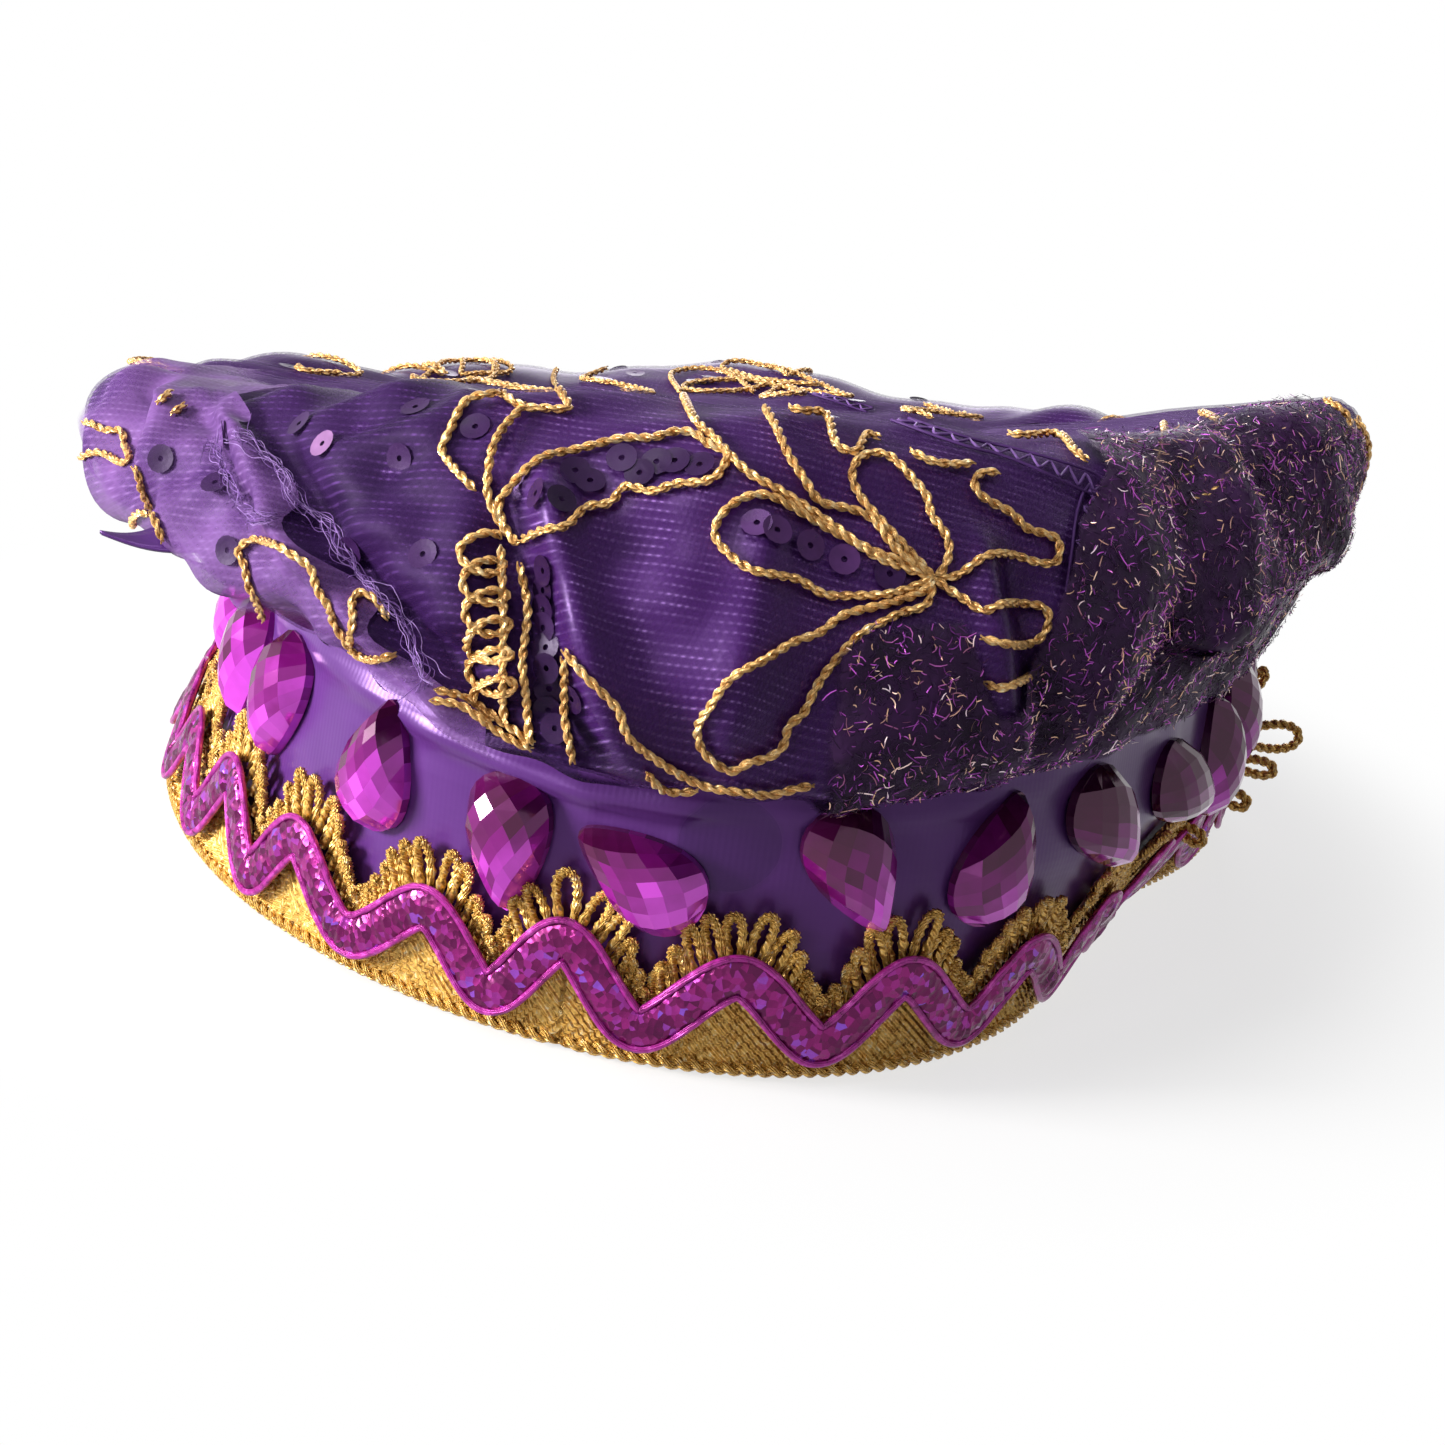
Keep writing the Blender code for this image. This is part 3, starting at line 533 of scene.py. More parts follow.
def cast_from_photo(pixels, tree):
    """Points and normals where the sight lines through these pixels of the photograph meet a surface."""
    offsets = np.asarray(pixels, float) - PHOTO_SIZE / 2.0
    rays = unit(-FOCAL_PIXELS * eye_back + offsets[:, :1] * EYE_RIGHT - offsets[:, 1:] * EYE_UP)
    hits = [tree.ray_cast(Vector(EYE), Vector(ray)) for ray in rays]
    found = [hit for hit in hits if hit[0] is not None]
    points, normals = (np.array([hit[k][:] for hit in found]).reshape(-1, 3) for k in (0, 1))
    return points, np.where((normals @ eye_back)[:, None] < 0.0, -normals, normals)


def photo_paths(knots, tree, jump=0.007):
    """A line drawn through pixels, laid on the surface, and cut where it jumps from one fold to another."""
    points, normals = cast_from_photo(curve_through(knots, 6), tree)
    cuts = np.flatnonzero(np.linalg.norm(np.diff(points, axis=0), axis=1) > jump) + 1
    pieces = zip(np.split(points, cuts), np.split(normals, cuts))
    return [(smoothed(p), unit(smoothed(n, 6))) for p, n in pieces if len(p) > 5]


def laid_outline(angle, run, outline, lift):
    """An outline of (around, up) lengths laid on the crown about a point at an angle and a run from its
    seam."""
    up = run + outline[:, 1]
    middle = crown_skin(np.full(len(up), angle), run_place(np.full(len(up), angle), up))
    radius = np.linalg.norm((middle - CAP_MIDDLE)[:, :2], axis=1)
    turn = angle + np.degrees(outline[:, 0] / np.maximum(radius, 0.02))
    place = run_place(turn, up)
    return crown_cloth(turn, place, lift), crown_normal(turn, place)


def turned(along, across, direction):
    """Lengths along and across a direction as lengths around and up."""
    turn = math.radians(direction)
    return np.stack([along * math.cos(turn) - across * math.sin(turn),
                     along * math.sin(turn) + across * math.cos(turn)], axis=-1)


def leaf_outline(direction, half_length, half_width):
    """A pointed oval: along follows a cosine, across a sine that thins towards both ends."""
    phase = np.linspace(0.0, FULL_TURN, 61)
    across = half_width * np.sin(phase) * (1.0 - 0.25 * np.cos(phase))
    return turned(half_length * np.cos(phase), across, direction)


def petal_outline(direction, length, half_width, hub=0.002):
    """A petal from the hub and back: along follows half a sine, across a whole one."""
    phase = np.linspace(0.0, 1.0, 41)
    along = hub + (length - hub) * np.sin(math.pi * phase)
    return turned(along, -half_width * np.sin(FULL_TURN * phase), direction)


def scroll_outline(direction, length, swing):
    """An open scroll: a wave of two swings that curls in at its end."""
    phase = np.linspace(0.0, 1.0, 61)
    curl = ease(phase, 0.7, 1.0)
    along = length * (phase - 0.18 * curl * (1.0 - np.cos(5.0 * (phase - 0.7))))
    return turned(along - 0.5 * length, swing * np.sin(FULL_TURN * phase) * (1.0 + 0.4 * curl), direction)


def new_finish(name):
    """A material with its node tree and its Principled shader."""
    finish = bpy.data.materials.new(name)
    finish.use_nodes = True
    return finish, finish.node_tree, finish.node_tree.nodes["Principled BSDF"]


def fill(tree, node, values):
    """Set or link a node's inputs by name or number. Colours are given without their alpha."""
    for key, value in values.items():
        socket = node.inputs[key]
        if isinstance(value, bpy.types.NodeSocket):
            tree.links.new(value, socket)
        else:
            socket.default_value = (*value, 1.0) if socket.type == "RGBA" else value
    return node


def add_node(tree, kind, values=None, **settings):
    """A node with its settings, and values or links for its inputs."""
    node = tree.nodes.new(kind)
    for key, value in settings.items():
        setattr(node, key, value)
    return fill(tree, node, values or {})


def maths(tree, operation, first, second=0.0, third=0.0):
    """The result of one Math node."""
    return add_node(tree, "ShaderNodeMath", {0: first, 1: second, 2: third}, operation=operation).outputs[0]


def scaled(tree, value, factor, plus=0.0):
    """A value times a factor, plus another."""
    return maths(tree, "MULTIPLY_ADD", value, factor, plus)


def ranged(tree, value, low, high, first=0.0, last=1.0, kind="LINEAR"):
    """A value between low and high, spread from first to last."""
    return add_node(tree, "ShaderNodeMapRange", {
        "Value": value, "From Min": low, "From Max": high, "To Min": first, "To Max": last},
        interpolation_type=kind).outputs["Result"]


def blend_colours(tree, factor, first, second, mode="MIX"):
    """The result of one colour Mix node, whose colours are its inputs 6 and 7 and its output 2."""
    return add_node(tree, "ShaderNodeMix", {0: factor, 6: first, 7: second},
                    data_type="RGBA", blend_type=mode).outputs[2]


def spot(tree, kind="Object"):
    """The piece's own coordinates."""
    return add_node(tree, "ShaderNodeTexCoord").outputs[kind]


def uv_ways(tree):
    """The two directions of the piece's UV map."""
    return add_node(tree, "ShaderNodeSeparateXYZ", {0: spot(tree, "UV")}).outputs[:2]


def noise(tree, scale, detail=2.0, roughness=0.5):
    """Soft noise over the piece."""
    return add_node(tree, "ShaderNodeTexNoise", {
        "Vector": spot(tree), "Scale": scale, "Detail": detail, "Roughness": roughness}).outputs["Fac"]


def stored(tree, name):
    """A value that the piece's mesh holds for each face or point."""
    return add_node(tree, "ShaderNodeAttribute", attribute_name=name).outputs["Fac"]


def colour_row(tree, value, stops):
    """Colours blended along a row of stops, each a place from 0 to 1 and a colour."""
    ramp = add_node(tree, "ShaderNodeValToRGB", {"Fac": value})
    row = ramp.color_ramp.elements
    row[0].color, row[1].color = (*stops[0][1], 1.0), (*stops[-1][1], 1.0)
    for place, tone in stops[1:-1]:
        row.new(place).color = (*tone, 1.0)
    return ramp.outputs["Color"]


def raise_bump(tree, shader, height, strength, distance):
    """Feed a height to the shader's normal through a Bump node."""
    bump = add_node(tree, "ShaderNodeBump", {"Height": height, "Strength": strength, "Distance": distance})
    fill(tree, shader, {"Normal": bump.outputs["Normal"]})


def new_group(name, inputs, outputs):
    """A shader node group with named sockets, its inputs given as (name, type, default)."""
    group = bpy.data.node_groups.new(name, "ShaderNodeTree")
    for label, kind, default in inputs:
        socket = group.interface.new_socket(label, in_out="INPUT", socket_type="NodeSocket" + kind)
        socket.default_value = (*default, 1.0) if kind == "Color" else default
    for label, kind in outputs:
        group.interface.new_socket(label, in_out="OUTPUT", socket_type="NodeSocket" + kind)
    return group, group.nodes.new("NodeGroupInput").outputs, group.nodes.new("NodeGroupOutput")


def use_group(tree, group, **values):
    """The outputs of a group node whose inputs are set by name."""
    return add_node(tree, "ShaderNodeGroup", values, node_tree=group).outputs


def mottle_group():
    """Slow change of shade over cloth: soft noise blends a dark and a light colour."""
    group, given, result = new_group("cloth_mottle", [
        ("Dark", "Color", (0.0, 0.0, 0.0)), ("Light", "Color", (1.0, 1.0, 1.0)), ("Scale", "Float", 40.0)],
        [("Color", "Color"), ("Mask", "Float")])
    mask = ranged(group, noise(group, given["Scale"], 4.0, 0.6), 0.3, 0.7)
    fill(group, result, {"Color": blend_colours(group, mask, given["Dark"], given["Light"]), "Mask": mask})
    return group


def weave_group():
    """Fine cloth threads: sines along both directions of the UV map, in metres, times their counts."""
    group, given, result = new_group("cloth_weave", [
        ("Warp", "Float", 3000.0), ("Weft", "Float", 3000.0)], [("Height", "Float")])
    warp, weft = (maths(group, "SINE", maths(group, "MULTIPLY", way, given[count]))
                  for way, count in zip(uv_ways(group), ("Warp", "Weft")))
    fill(group, result, {"Height": scaled(group, warp, 0.5, maths(group, "MULTIPLY", weft, 0.5))})
    return group


def gold_group():
    """Metal thread: a fine noise blends three tones, the light one in pale spots that are painted glints,
    and slanted stripes on the UV map raise its strands.
    """
    group, given, result = new_group("gold_thread", [
        ("Dark", "Color", (0.2, 0.1, 0.01)), ("Mid", "Color", (0.6, 0.35, 0.05)),
        ("Light", "Color", (0.9, 0.7, 0.3)), ("Scale", "Float", 900.0), ("Strands", "Float", 9000.0)],
        [("Color", "Color"), ("Height", "Float"), ("Roughness", "Float")])
    grain = noise(group, given["Scale"], 3.0, 0.7)
    base = blend_colours(group, ranged(group, grain, 0.34, 0.52), given["Dark"], given["Mid"])
    along, across = uv_ways(group)
    slant = scaled(group, along, given["Strands"], maths(group, "MULTIPLY", across, 2.0 * FULL_TURN))
    # Painted glints: the pale light tone shows in spots where the noise is high.
    fill(group, result, {
        "Color": blend_colours(group, ranged(group, grain, 0.56, 0.72), base, given["Light"]),
        "Height": maths(group, "SINE", slant), "Roughness": scaled(group, grain, 0.35, 0.14)})
    return group


MOTTLE, WEAVE, GOLD = mottle_group(), weave_group(), gold_group()


def satin_finish(name, dark, light, imprint=False):
    """Glossy satin: purple mottled by slow noise, a fine cross weave, less gloss where the cloth is dull,
    and on the band the dark round patch of glue where a jewel has come off."""
    finish, tree, shader = new_finish(name)
    cloth = use_group(tree, MOTTLE, Dark=dark, Light=light, Scale=28.0)
    weave = use_group(tree, WEAVE, Warp=9000.0, Weft=5200.0)
    tone = cloth["Color"]
    rough = scaled(tree, cloth["Mask"], 0.10, scaled(tree, stored(tree, "dull"), 0.60, 0.26))
    if imprint:
        middle = band_point(*LOST_JEWEL, SATIN_OUTER).tolist()
        away = add_node(tree, "ShaderNodeVectorMath", {0: spot(tree), 1: middle}, operation="DISTANCE")
        glue = ranged(tree, away.outputs["Value"], 0.0058, 0.0072, 1.0, 0.0, "SMOOTHSTEP")
        tone = blend_colours(tree, maths(tree, "MULTIPLY", glue, 0.55), tone, (0.026, 0.007, 0.060))
        rough = scaled(tree, glue, -0.12, rough)
    fill(tree, shader, {"Base Color": tone, "Roughness": rough, "Specular IOR Level": 0.5,
                        "Specular Tint": (0.70, 0.40, 1.0)})
    raise_bump(tree, shader, weave["Height"], 0.04, 0.0002)
    return finish


def woven_finish(name, dark, light, threads, roughness, depth):
    """Plain matt cloth: mottled colour and a weave that shows."""
    finish, tree, shader = new_finish(name)
    cloth = use_group(tree, MOTTLE, Dark=dark, Light=light, Scale=60.0)
    weave = use_group(tree, WEAVE, Warp=threads, Weft=threads)
    tone = blend_colours(tree, 1.0, cloth["Color"], scaled(tree, weave["Height"], 0.16, 0.84), "MULTIPLY")
    fill(tree, shader, {"Base Color": tone, "Roughness": roughness})
    raise_bump(tree, shader, weave["Height"], 0.5, depth)
    return finish


def net_finish(name, dark, light, bright, veil, thread_veil, roughness):
    """Sheer net: rows of dotted thread along the UV map, in metres, which noise bends and makes uneven,
    joined by fainter slanted threads; the holes between them are nearly clear. Where the cloth's cover
    runs out, so does the net, and it has less gloss where it is dull."""
    finish, tree, shader = new_finish(name)

    def ridges(value, power):
        return maths(tree, "POWER", maths(tree, "ABSOLUTE", maths(tree, "SINE", value)), power)

    across, along = uv_ways(tree)
    drift = scaled(tree, noise(tree, 26.0), 4.0, maths(tree, "MULTIPLY", along, 2500.0))
    dots = scaled(tree, maths(tree, "SINE", maths(tree, "MULTIPLY", across, 7000.0)), 0.35, 0.65)
    uneven = ranged(tree, noise(tree, 320.0), 0.36, 0.72, 0.14)
    knot = maths(tree, "MULTIPLY", maths(tree, "MULTIPLY", ridges(drift, 9.0), dots), uneven)
    slants = (ridges(scaled(tree, across, slope, drift), 7.0) for slope in (3100.0, -3100.0))
    thread = maths(tree, "MAXIMUM", knot, maths(tree, "MULTIPLY", maths(tree, "MAXIMUM", *slants), 0.45))
    cloth = use_group(tree, MOTTLE, Dark=dark, Light=light, Scale=60.0)
    cover = maths(tree, "SUBTRACT", stored(tree, "cover"), 0.5)
    ragged = ranged(tree, scaled(tree, cloth["Mask"], 0.5, cover), 0.0, 0.4)
    # The knots' pale colour is partly the threads' own tone and partly a painted glint on them.
    fill(tree, shader, {
        "Base Color": blend_colours(tree, knot, cloth["Color"], bright),
        "Alpha": maths(tree, "MULTIPLY", ragged, scaled(tree, thread, thread_veil, veil)),
        "Roughness": scaled(tree, stored(tree, "dull"), 0.45, roughness),
        "Specular IOR Level": 0.2, "Specular Tint": (0.70, 0.45, 1.0)})
    return finish


def tinsel_ground_finish():
    """Dark net under the tinsel: nearly black purple, and clear where its cover, roughened by noise, runs
    out."""
    finish, tree, shader = new_finish("dark_tinsel_ground")
    cloth = use_group(tree, MOTTLE, Dark=(0.008, 0.002, 0.013), Light=(0.060, 0.015, 0.088), Scale=120.0)
    cover = maths(tree, "SUBTRACT", stored(tree, "cover"), 0.6)
    fill(tree, shader, {
        "Base Color": cloth["Color"], "Roughness": 0.6, "Specular IOR Level": 0.25,
        "Alpha": ranged(tree, scaled(tree, cloth["Mask"], 0.6, cover), 0.0, 0.35, 0.0, 0.86)})
    raise_bump(tree, shader, cloth["Mask"], 0.6, 0.0008)
    return finish


def gold_finish(name, dark, mid, light, scale, strands, depth):
    """Metal thread in three of its tones, the lightest as painted glints."""
    finish, tree, shader = new_finish(name)
    thread = use_group(tree, GOLD, Dark=dark, Mid=mid, Light=light, Scale=scale, Strands=strands)
    fill(tree, shader, {"Base Color": thread["Color"], "Roughness": thread["Roughness"], "Metallic": 0.38})
    raise_bump(tree, shader, thread["Height"], 0.8, depth)
    return finish


def jewel_finish():
    """Foil-backed stone: each facet's tint blends a dark plum into a bright magenta, under a clear coat.
    The tint is a painted glow, so its bright magenta end is painted light.
    """
    finish, tree, shader = new_finish("foiled_purple_stone_painted_glow")
    cloud = noise(tree, 160.0, 3.0)
    # The stored tint is the facets' painted glow, clouded by fine noise.
    shade = scaled(tree, cloud, 0.5, maths(tree, "SUBTRACT", stored(tree, "tint"), 0.25))
    fill(tree, shader, {
        "Base Color": colour_row(tree, shade, (
            (0.0, (0.075, 0.004, 0.045)), (0.55, (0.25, 0.007, 0.22)), (1.0, (0.78, 0.08, 0.82)))),
        "Roughness": scaled(tree, cloud, 0.10, 0.06), "Metallic": 0.30, "Specular IOR Level": 0.3,
        "Coat Weight": 0.25, "Coat Roughness": 0.03})
    return finish


def ribbon_finish():
    """Foil sequin filling: small cells, each with a magenta, violet or blue glint."""
    finish, tree, shader = new_finish("magenta_foil_ribbon")
    cells = add_node(tree, "ShaderNodeTexVoronoi", {"Vector": spot(tree), "Scale": 1000.0}).outputs
    pick = add_node(tree, "ShaderNodeSeparateColor", {0: cells["Color"]}).outputs
    fill(tree, shader, {
        "Base Color": colour_row(tree, pick[0], (
            (0.0, (0.09, 0.004, 0.055)), (0.45, (0.15, 0.006, 0.085)), (0.74, (0.28, 0.014, 0.175)),
            (0.95, (0.30, 0.03, 0.30)), (1.0, (0.24, 0.08, 0.60)))),
        "Roughness": scaled(tree, pick[1], 0.30, 0.12), "Metallic": 0.7})
    raise_bump(tree, shader, cells["Distance"], 0.3, 0.0006)
    return finish


def tint_finish(name, tones, roughness, metallic, alpha=1.0):
    """A finish whose colour is picked by each face's tint along a row of tones, clouded by fine noise."""
    finish, tree, shader = new_finish(name)
    cloud = noise(tree, 420.0)
    stops = [(k / (len(tones) - 1), tone) for k, tone in enumerate(tones)]
    picked = colour_row(tree, stored(tree, "tint"), stops)
    fill(tree, shader, {
        "Base Color": blend_colours(tree, 1.0, picked, scaled(tree, cloud, 0.7, 0.65), "MULTIPLY"),
        "Roughness": scaled(tree, cloud, 0.2, roughness - 0.1), "Metallic": metallic,
        "Specular IOR Level": 0.15, "Alpha": alpha})
    return finish


band_finish = satin_finish("purple_band_satin", (0.066, 0.017, 0.125), (0.100, 0.029, 0.178), imprint=True)
crown_finish = satin_finish("purple_crown_satin", (0.036, 0.007, 0.078), (0.056, 0.013, 0.112))
lining_finish = woven_finish(
    "purple_lining_cloth", (0.07, 0.03, 0.14), (0.11, 0.05, 0.20), 6000.0, 0.75, 0.0003)
canvas_finish = woven_finish(
    "stiff_canvas_cloth", (0.58, 0.54, 0.47), (0.74, 0.70, 0.62), 4000.0, 0.85, 0.0004)
veil_finish = net_finish(
    "sheer_purple_net", (0.034, 0.007, 0.074), (0.060, 0.015, 0.125), (0.34, 0.18, 0.54), 0.22, 0.55, 0.42)
# Painted light: the folded net is a lighter copy of the sheer net, as if lit from the left.
lit_fold_finish = net_finish(
    "folded_purple_net_painted_light", (0.060, 0.020, 0.115), (0.210, 0.095, 0.310), (0.26, 0.14, 0.37), 0.66, 0.24, 0.6)
# Painted shade: the tucked net is a darker copy of the sheer net, laid over the hollow that the fold shades.
shaded_tuck_finish = net_finish(
    "tucked_purple_net_painted_shade", (0.009, 0.002, 0.022), (0.028, 0.006, 0.060), (0.085, 0.032, 0.16), 0.74, 0.24,
    0.65)
# In each metal finish the light tone is painted glint.
braid_finish = gold_finish(
    "gold_braid_thread", (0.38, 0.17, 0.020), (0.95, 0.57, 0.13), (1.0, 0.88, 0.55), 1300.0, 7800.0, 0.0003)
cord_finish = gold_finish(
    "gold_cord_thread", (0.46, 0.21, 0.055), (0.90, 0.53, 0.18), (1.0, 0.86, 0.52), 700.0, 5200.0, 0.00012)
stone_glow_finish = jewel_finish()
foil_finish = ribbon_finish()
piping_finish = gold_finish(
    "magenta_foil_piping", (0.20, 0.008, 0.13), (0.42, 0.020, 0.30), (0.72, 0.12, 0.58), 600.0, 900.0,
    0.00005)
sequin_finish = tint_finish("purple_sequin_film", (
    (0.020, 0.006, 0.035), (0.050, 0.014, 0.090), (0.12, 0.04, 0.18), (0.27, 0.13, 0.30)), 0.36, 0.1, 0.78)
tinsel_finish = tint_finish("tinsel_filaments", (
    (0.012, 0.004, 0.020), (0.050, 0.012, 0.075), (0.20, 0.034, 0.25), (0.58, 0.11, 0.66),
    (0.30, 0.10, 0.20), (0.95, 0.58, 0.36), (1.0, 0.80, 0.92)), 0.30, 0.5)
fuzz_finish = tint_finish("net_thread_fuzz", (
    (0.02, 0.008, 0.035), (0.07, 0.025, 0.13), (0.26, 0.13, 0.42), (0.50, 0.36, 0.66)), 0.5, 0.0)
tinsel_ground = tinsel_ground_finish()

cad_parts["band_stiffener"].data.materials.clear()
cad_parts["band_stiffener"].data.materials.append(canvas_finish)


def make_band_satin():
    """The band's satin: the wall with slack ripples that run up it, a sag near its top, and at the front
    a soft roll under the crown with a furrow below it. No ripple reaches in to the stiffener."""
    angles = np.linspace(360.0, 0.0, 720, endpoint=False)[:, None]
    heights = np.linspace(HEM_LIFT, BAND_HEIGHT, 34)[None, :]
    turn = np.radians(angles)
    slack = (np.sin(31 * turn + 2.0 * np.sin(4 * turn) + 60.0 * heights)
             + 0.6 * np.sin(53 * turn - 90.0 * heights))
    sag = np.sin(5 * turn + 110.0 * heights + 1.2) + 0.7 * np.sin(11 * turn - 150.0 * heights)
    roll = np.interp(angles, ROLL_ANGLES, ROLL_HEIGHTS)
    rolled = (ROLL_DEPTH * swell(heights, roll, ROLL_SPREAD)
              - FURROW_DEPTH * swell(heights, roll - FURROW_DROP, ROLL_SPREAD))
    ripple = (SLACK_DEPTH * slack * ease(heights, 0.016, 0.030)
              + SAG_DEPTH * sag * swell(heights, SAG_HEIGHT, SAG_SPREAD)
              + angle_swell(angles, 268.0, 24.0) * rolled)
    points = band_point(angles, heights, SATIN_OUTER + np.maximum(ripple, -DEEPEST_RIPPLE))
    piece = Mesh().add_grid(points, round_rows=True, uv=paired(BAND_GIRTH * turn, heights)).finish(
        "band_satin_cloth", band_finish, "purple_satin", ["band_satin"])
    thicken(piece, BAND_WALL)


def make_lining():
    """The lining inside the band: the same wall, turned to face the head, with faint upright ripples."""
    angles = np.linspace(0.0, 360.0, 480, endpoint=False)[:, None]
    heights = np.linspace(HEM_LIFT, BAND_HEIGHT, 18)[None, :]
    turn = np.radians(angles)
    ripple = LINING_RIPPLE * np.sin(44 * turn + 2.0 * np.sin(3 * turn))
    points = band_point(angles, heights, LINING_OFFSET + ripple)
    piece = Mesh().add_grid(points, round_rows=True, uv=paired(BAND_GIRTH * turn, heights)).finish(
        "band_lining_cloth", lining_finish, "purple_lining", ["band_lining"])
    thicken(piece, LINING_WALL)


def zigzag(share):
    """Height of the ribbon's middle at a count of repeats: a zigzag with rounded corners, high at each
    start, that slow waves round the cap make a little uneven."""
    turn = FULL_TURN * np.asarray(share) / BRAID_REPEATS
    uneven = np.sin(7.0 * turn + 0.5) + np.sin(11.0 * turn + 2.0)
    late = 0.035 * np.sin(8.0 * turn) + 0.03 * np.sin(13.0 * turn + 1.0)
    wave = np.arcsin(0.72 * np.cos(FULL_TURN * (share + late))) / math.asin(0.72)
    return RIBBON_MID + RIBBON_SWING * (1.0 + 0.07 * uneven) * wave + 0.0003 * uneven


def ribbon_spot(repeat, across, upright=1.6):
    """Angle and height at a count of repeats along the ribbon and an offset across it, which is measured
    square to the zigzag, but more upright by a factor so that its corners stay open."""
    slope = (zigzag(repeat + 0.01) - zigzag(repeat - 0.01)) / (0.02 * REPEAT_STEP)
    square = unit(paired(-slope, upright))
    share = (repeat + across * square[..., 0] / REPEAT_STEP) / BRAID_REPEATS
    return girth_angles(BRAID_VALLEY, RIBBON_INNER, share % 1.0), zigzag(repeat) + across * square[..., 1]


def add_braid_loops(mesh):
    """Beady rope loops that stand square on the ribbon's line, longest at its crests like a fan. Along
    one loop the place along the ribbon goes from -1 to 1 as a cosine and the place across it is a low
    power of a sine; every third ring of the rope is a bead."""
    count = BRAID_REPEATS * FINGERS
    repeat = ((np.arange(count) + 0.5) / FINGERS)[:, None]
    phase = np.linspace(0.0, 1.0, LOOP_POINTS)[None, :]
    climb = np.sin(math.pi * phase) ** 0.6
    crest = 0.5 + 0.5 * np.cos(FULL_TURN * repeat)
    reach = LOOP_SHORT + (LOOP_LONG - LOOP_SHORT) * crest + chance.normal(0.0, LOOP_UNEVEN, (count, 1))
    along = (repeat - LOOP_HALF * np.cos(math.pi * phase) / REPEAT_STEP
             + chance.normal(0.0, LOOP_ASTRAY, (count, 1)))
    angles, heights = ribbon_spot(along, RIBBON_HALF - LOOP_TUCK + reach * climb, 2.0 + 2.5 * (1.0 - crest))
    standing = BRAID_INNER + LOOP_STAND + LOOP_STAND * climb**4 * chance.uniform(0.1, 1.3, (count, 1))
    points, _, _, outward = band_frame(angles, heights, standing)
    beads = BEAD_RADIUS * np.where(np.arange(LOOP_POINTS) % 3 == 1, BEAD_SWELL, BEAD_WAIST)
    uv = paired(np.linspace(0.0, 0.012, LOOP_POINTS)[:, None], np.linspace(0.0, 1.0, 5)[None, :])
    for path, normal in zip(points, outward):
        mesh.add_tube(path, normal, beads, 5, uv=uv)


def add_braid_ground(mesh):
    """The braid's grainy ground: it fills the band up to the ribbon's line, and every other point of its
    grid stands out."""
    columns, rows = BRAID_REPEATS * 30, 17
    around = np.linspace(0.0, 1.0, columns, endpoint=False)
    tops = zigzag(around * BRAID_REPEATS)[:, None]
    heights = GROUND_FOOT + (tops - GROUND_FOOT) * np.linspace(0.0, 1.0, rows)[None, :]
    raised = (np.arange(columns)[:, None] + np.arange(rows)[None, :]) % 2
    grain = GROUND_GRAIN * raised + chance.uniform(0.0, GROUND_UNEVEN, heights.shape)
    angles = girth_angles(BRAID_VALLEY, BRAID_INNER, around)[:, None]
    points = band_point(angles, heights, BRAID_INNER + GROUND_SEAT + grain)
    run = 0.7 * (BRAID_REPEATS * REPEAT_STEP * around[:, None] + heights)
    mesh.add_grid(points[::-1], round_rows=True, uv=paired(run, heights)[::-1])


def add_stray_loop(mesh, angle, height, reach, rise, half_width):
    """A loop that springs from the band: half a sine along its own line, a whole sine across it, both in
    the upright plane that faces out."""
    here, _, up, outward = band_frame(angle, height, BRAID_INNER)
    phase = np.linspace(0.0, 1.0, 40)[:, None]
    length = math.hypot(reach, rise)
    line, square = (outward * reach + up * rise) / length, (up * reach - outward * rise) / length
    path = (here + STRAY_SEAT * outward + line * length * np.sin(math.pi * phase)
            + square * half_width * np.sin(FULL_TURN * phase))
    normal = np.broadcast_to(np.cross(line, square), path.shape)
    add_two_ply(mesh, path, normal, STRAY_RADIUS, STRAY_PITCH)


def make_braid():
    """The gold braid: loops over a grainy ground, a twisted cord round its foot, and loops that stray."""
    mesh = Mesh()
    add_braid_loops(mesh)
    add_braid_ground(mesh)
    foot, _, _, outward = band_frame(np.linspace(270.0, 630.0, 1201), FOOT_HEIGHT, BRAID_INNER + FOOT_SEAT)
    add_two_ply(mesh, foot, outward, FOOT_RADIUS, FOOT_PITCH, 5)
    for loop in STRAY_LOOPS:
        add_stray_loop(mesh, *loop)
    mesh.finish("gold_braid_loops", braid_finish, "gold_braid", ["gold_braid"])


def make_ribbon():
    """The zigzag ribbon: a domed foil strip, its section a flat oval carried along the zigzag, between two
    piped edges."""
    repeat = np.linspace(0.0, BRAID_REPEATS, BRAID_REPEATS * 44, endpoint=False)
    wobble = chance.normal(0.0, RIBBON_UNEVEN, (len(repeat), 1))
    rise = np.sin(circle(14))
    angles, heights = ribbon_spot(repeat[:, None], RIBBON_HALF * np.cos(circle(14)))
    depth = RIBBON_INNER + RIBBON_SEAT + np.where(rise > 0.0, RIBBON_DOME, RIBBON_BELLY) * rise
    points = band_point(angles, heights, depth + wobble * np.maximum(rise, 0.0))
    Mesh().add_grid(points, round_rows=True, round_columns=True).finish(
        "zigzag_ribbon_foil", foil_finish, "magenta_ribbon", ["zigzag_ribbon"])
    edges = Mesh()
    for across in (-RIBBON_HALF, RIBBON_HALF):
        path, _, _, outward = band_frame(*ribbon_spot(repeat, across), RIBBON_INNER + PIPING_SEAT)
        path, outward = (np.concatenate([line[-1:], line, line[:1]]) for line in (path, outward))
        rings = tube(path, outward, PIPING_RADIUS, 7)
        edges.add_grid(rings[1:-1], round_rows=True, round_columns=True)
    edges.finish("zigzag_ribbon_edges", piping_finish, "magenta_ribbon")


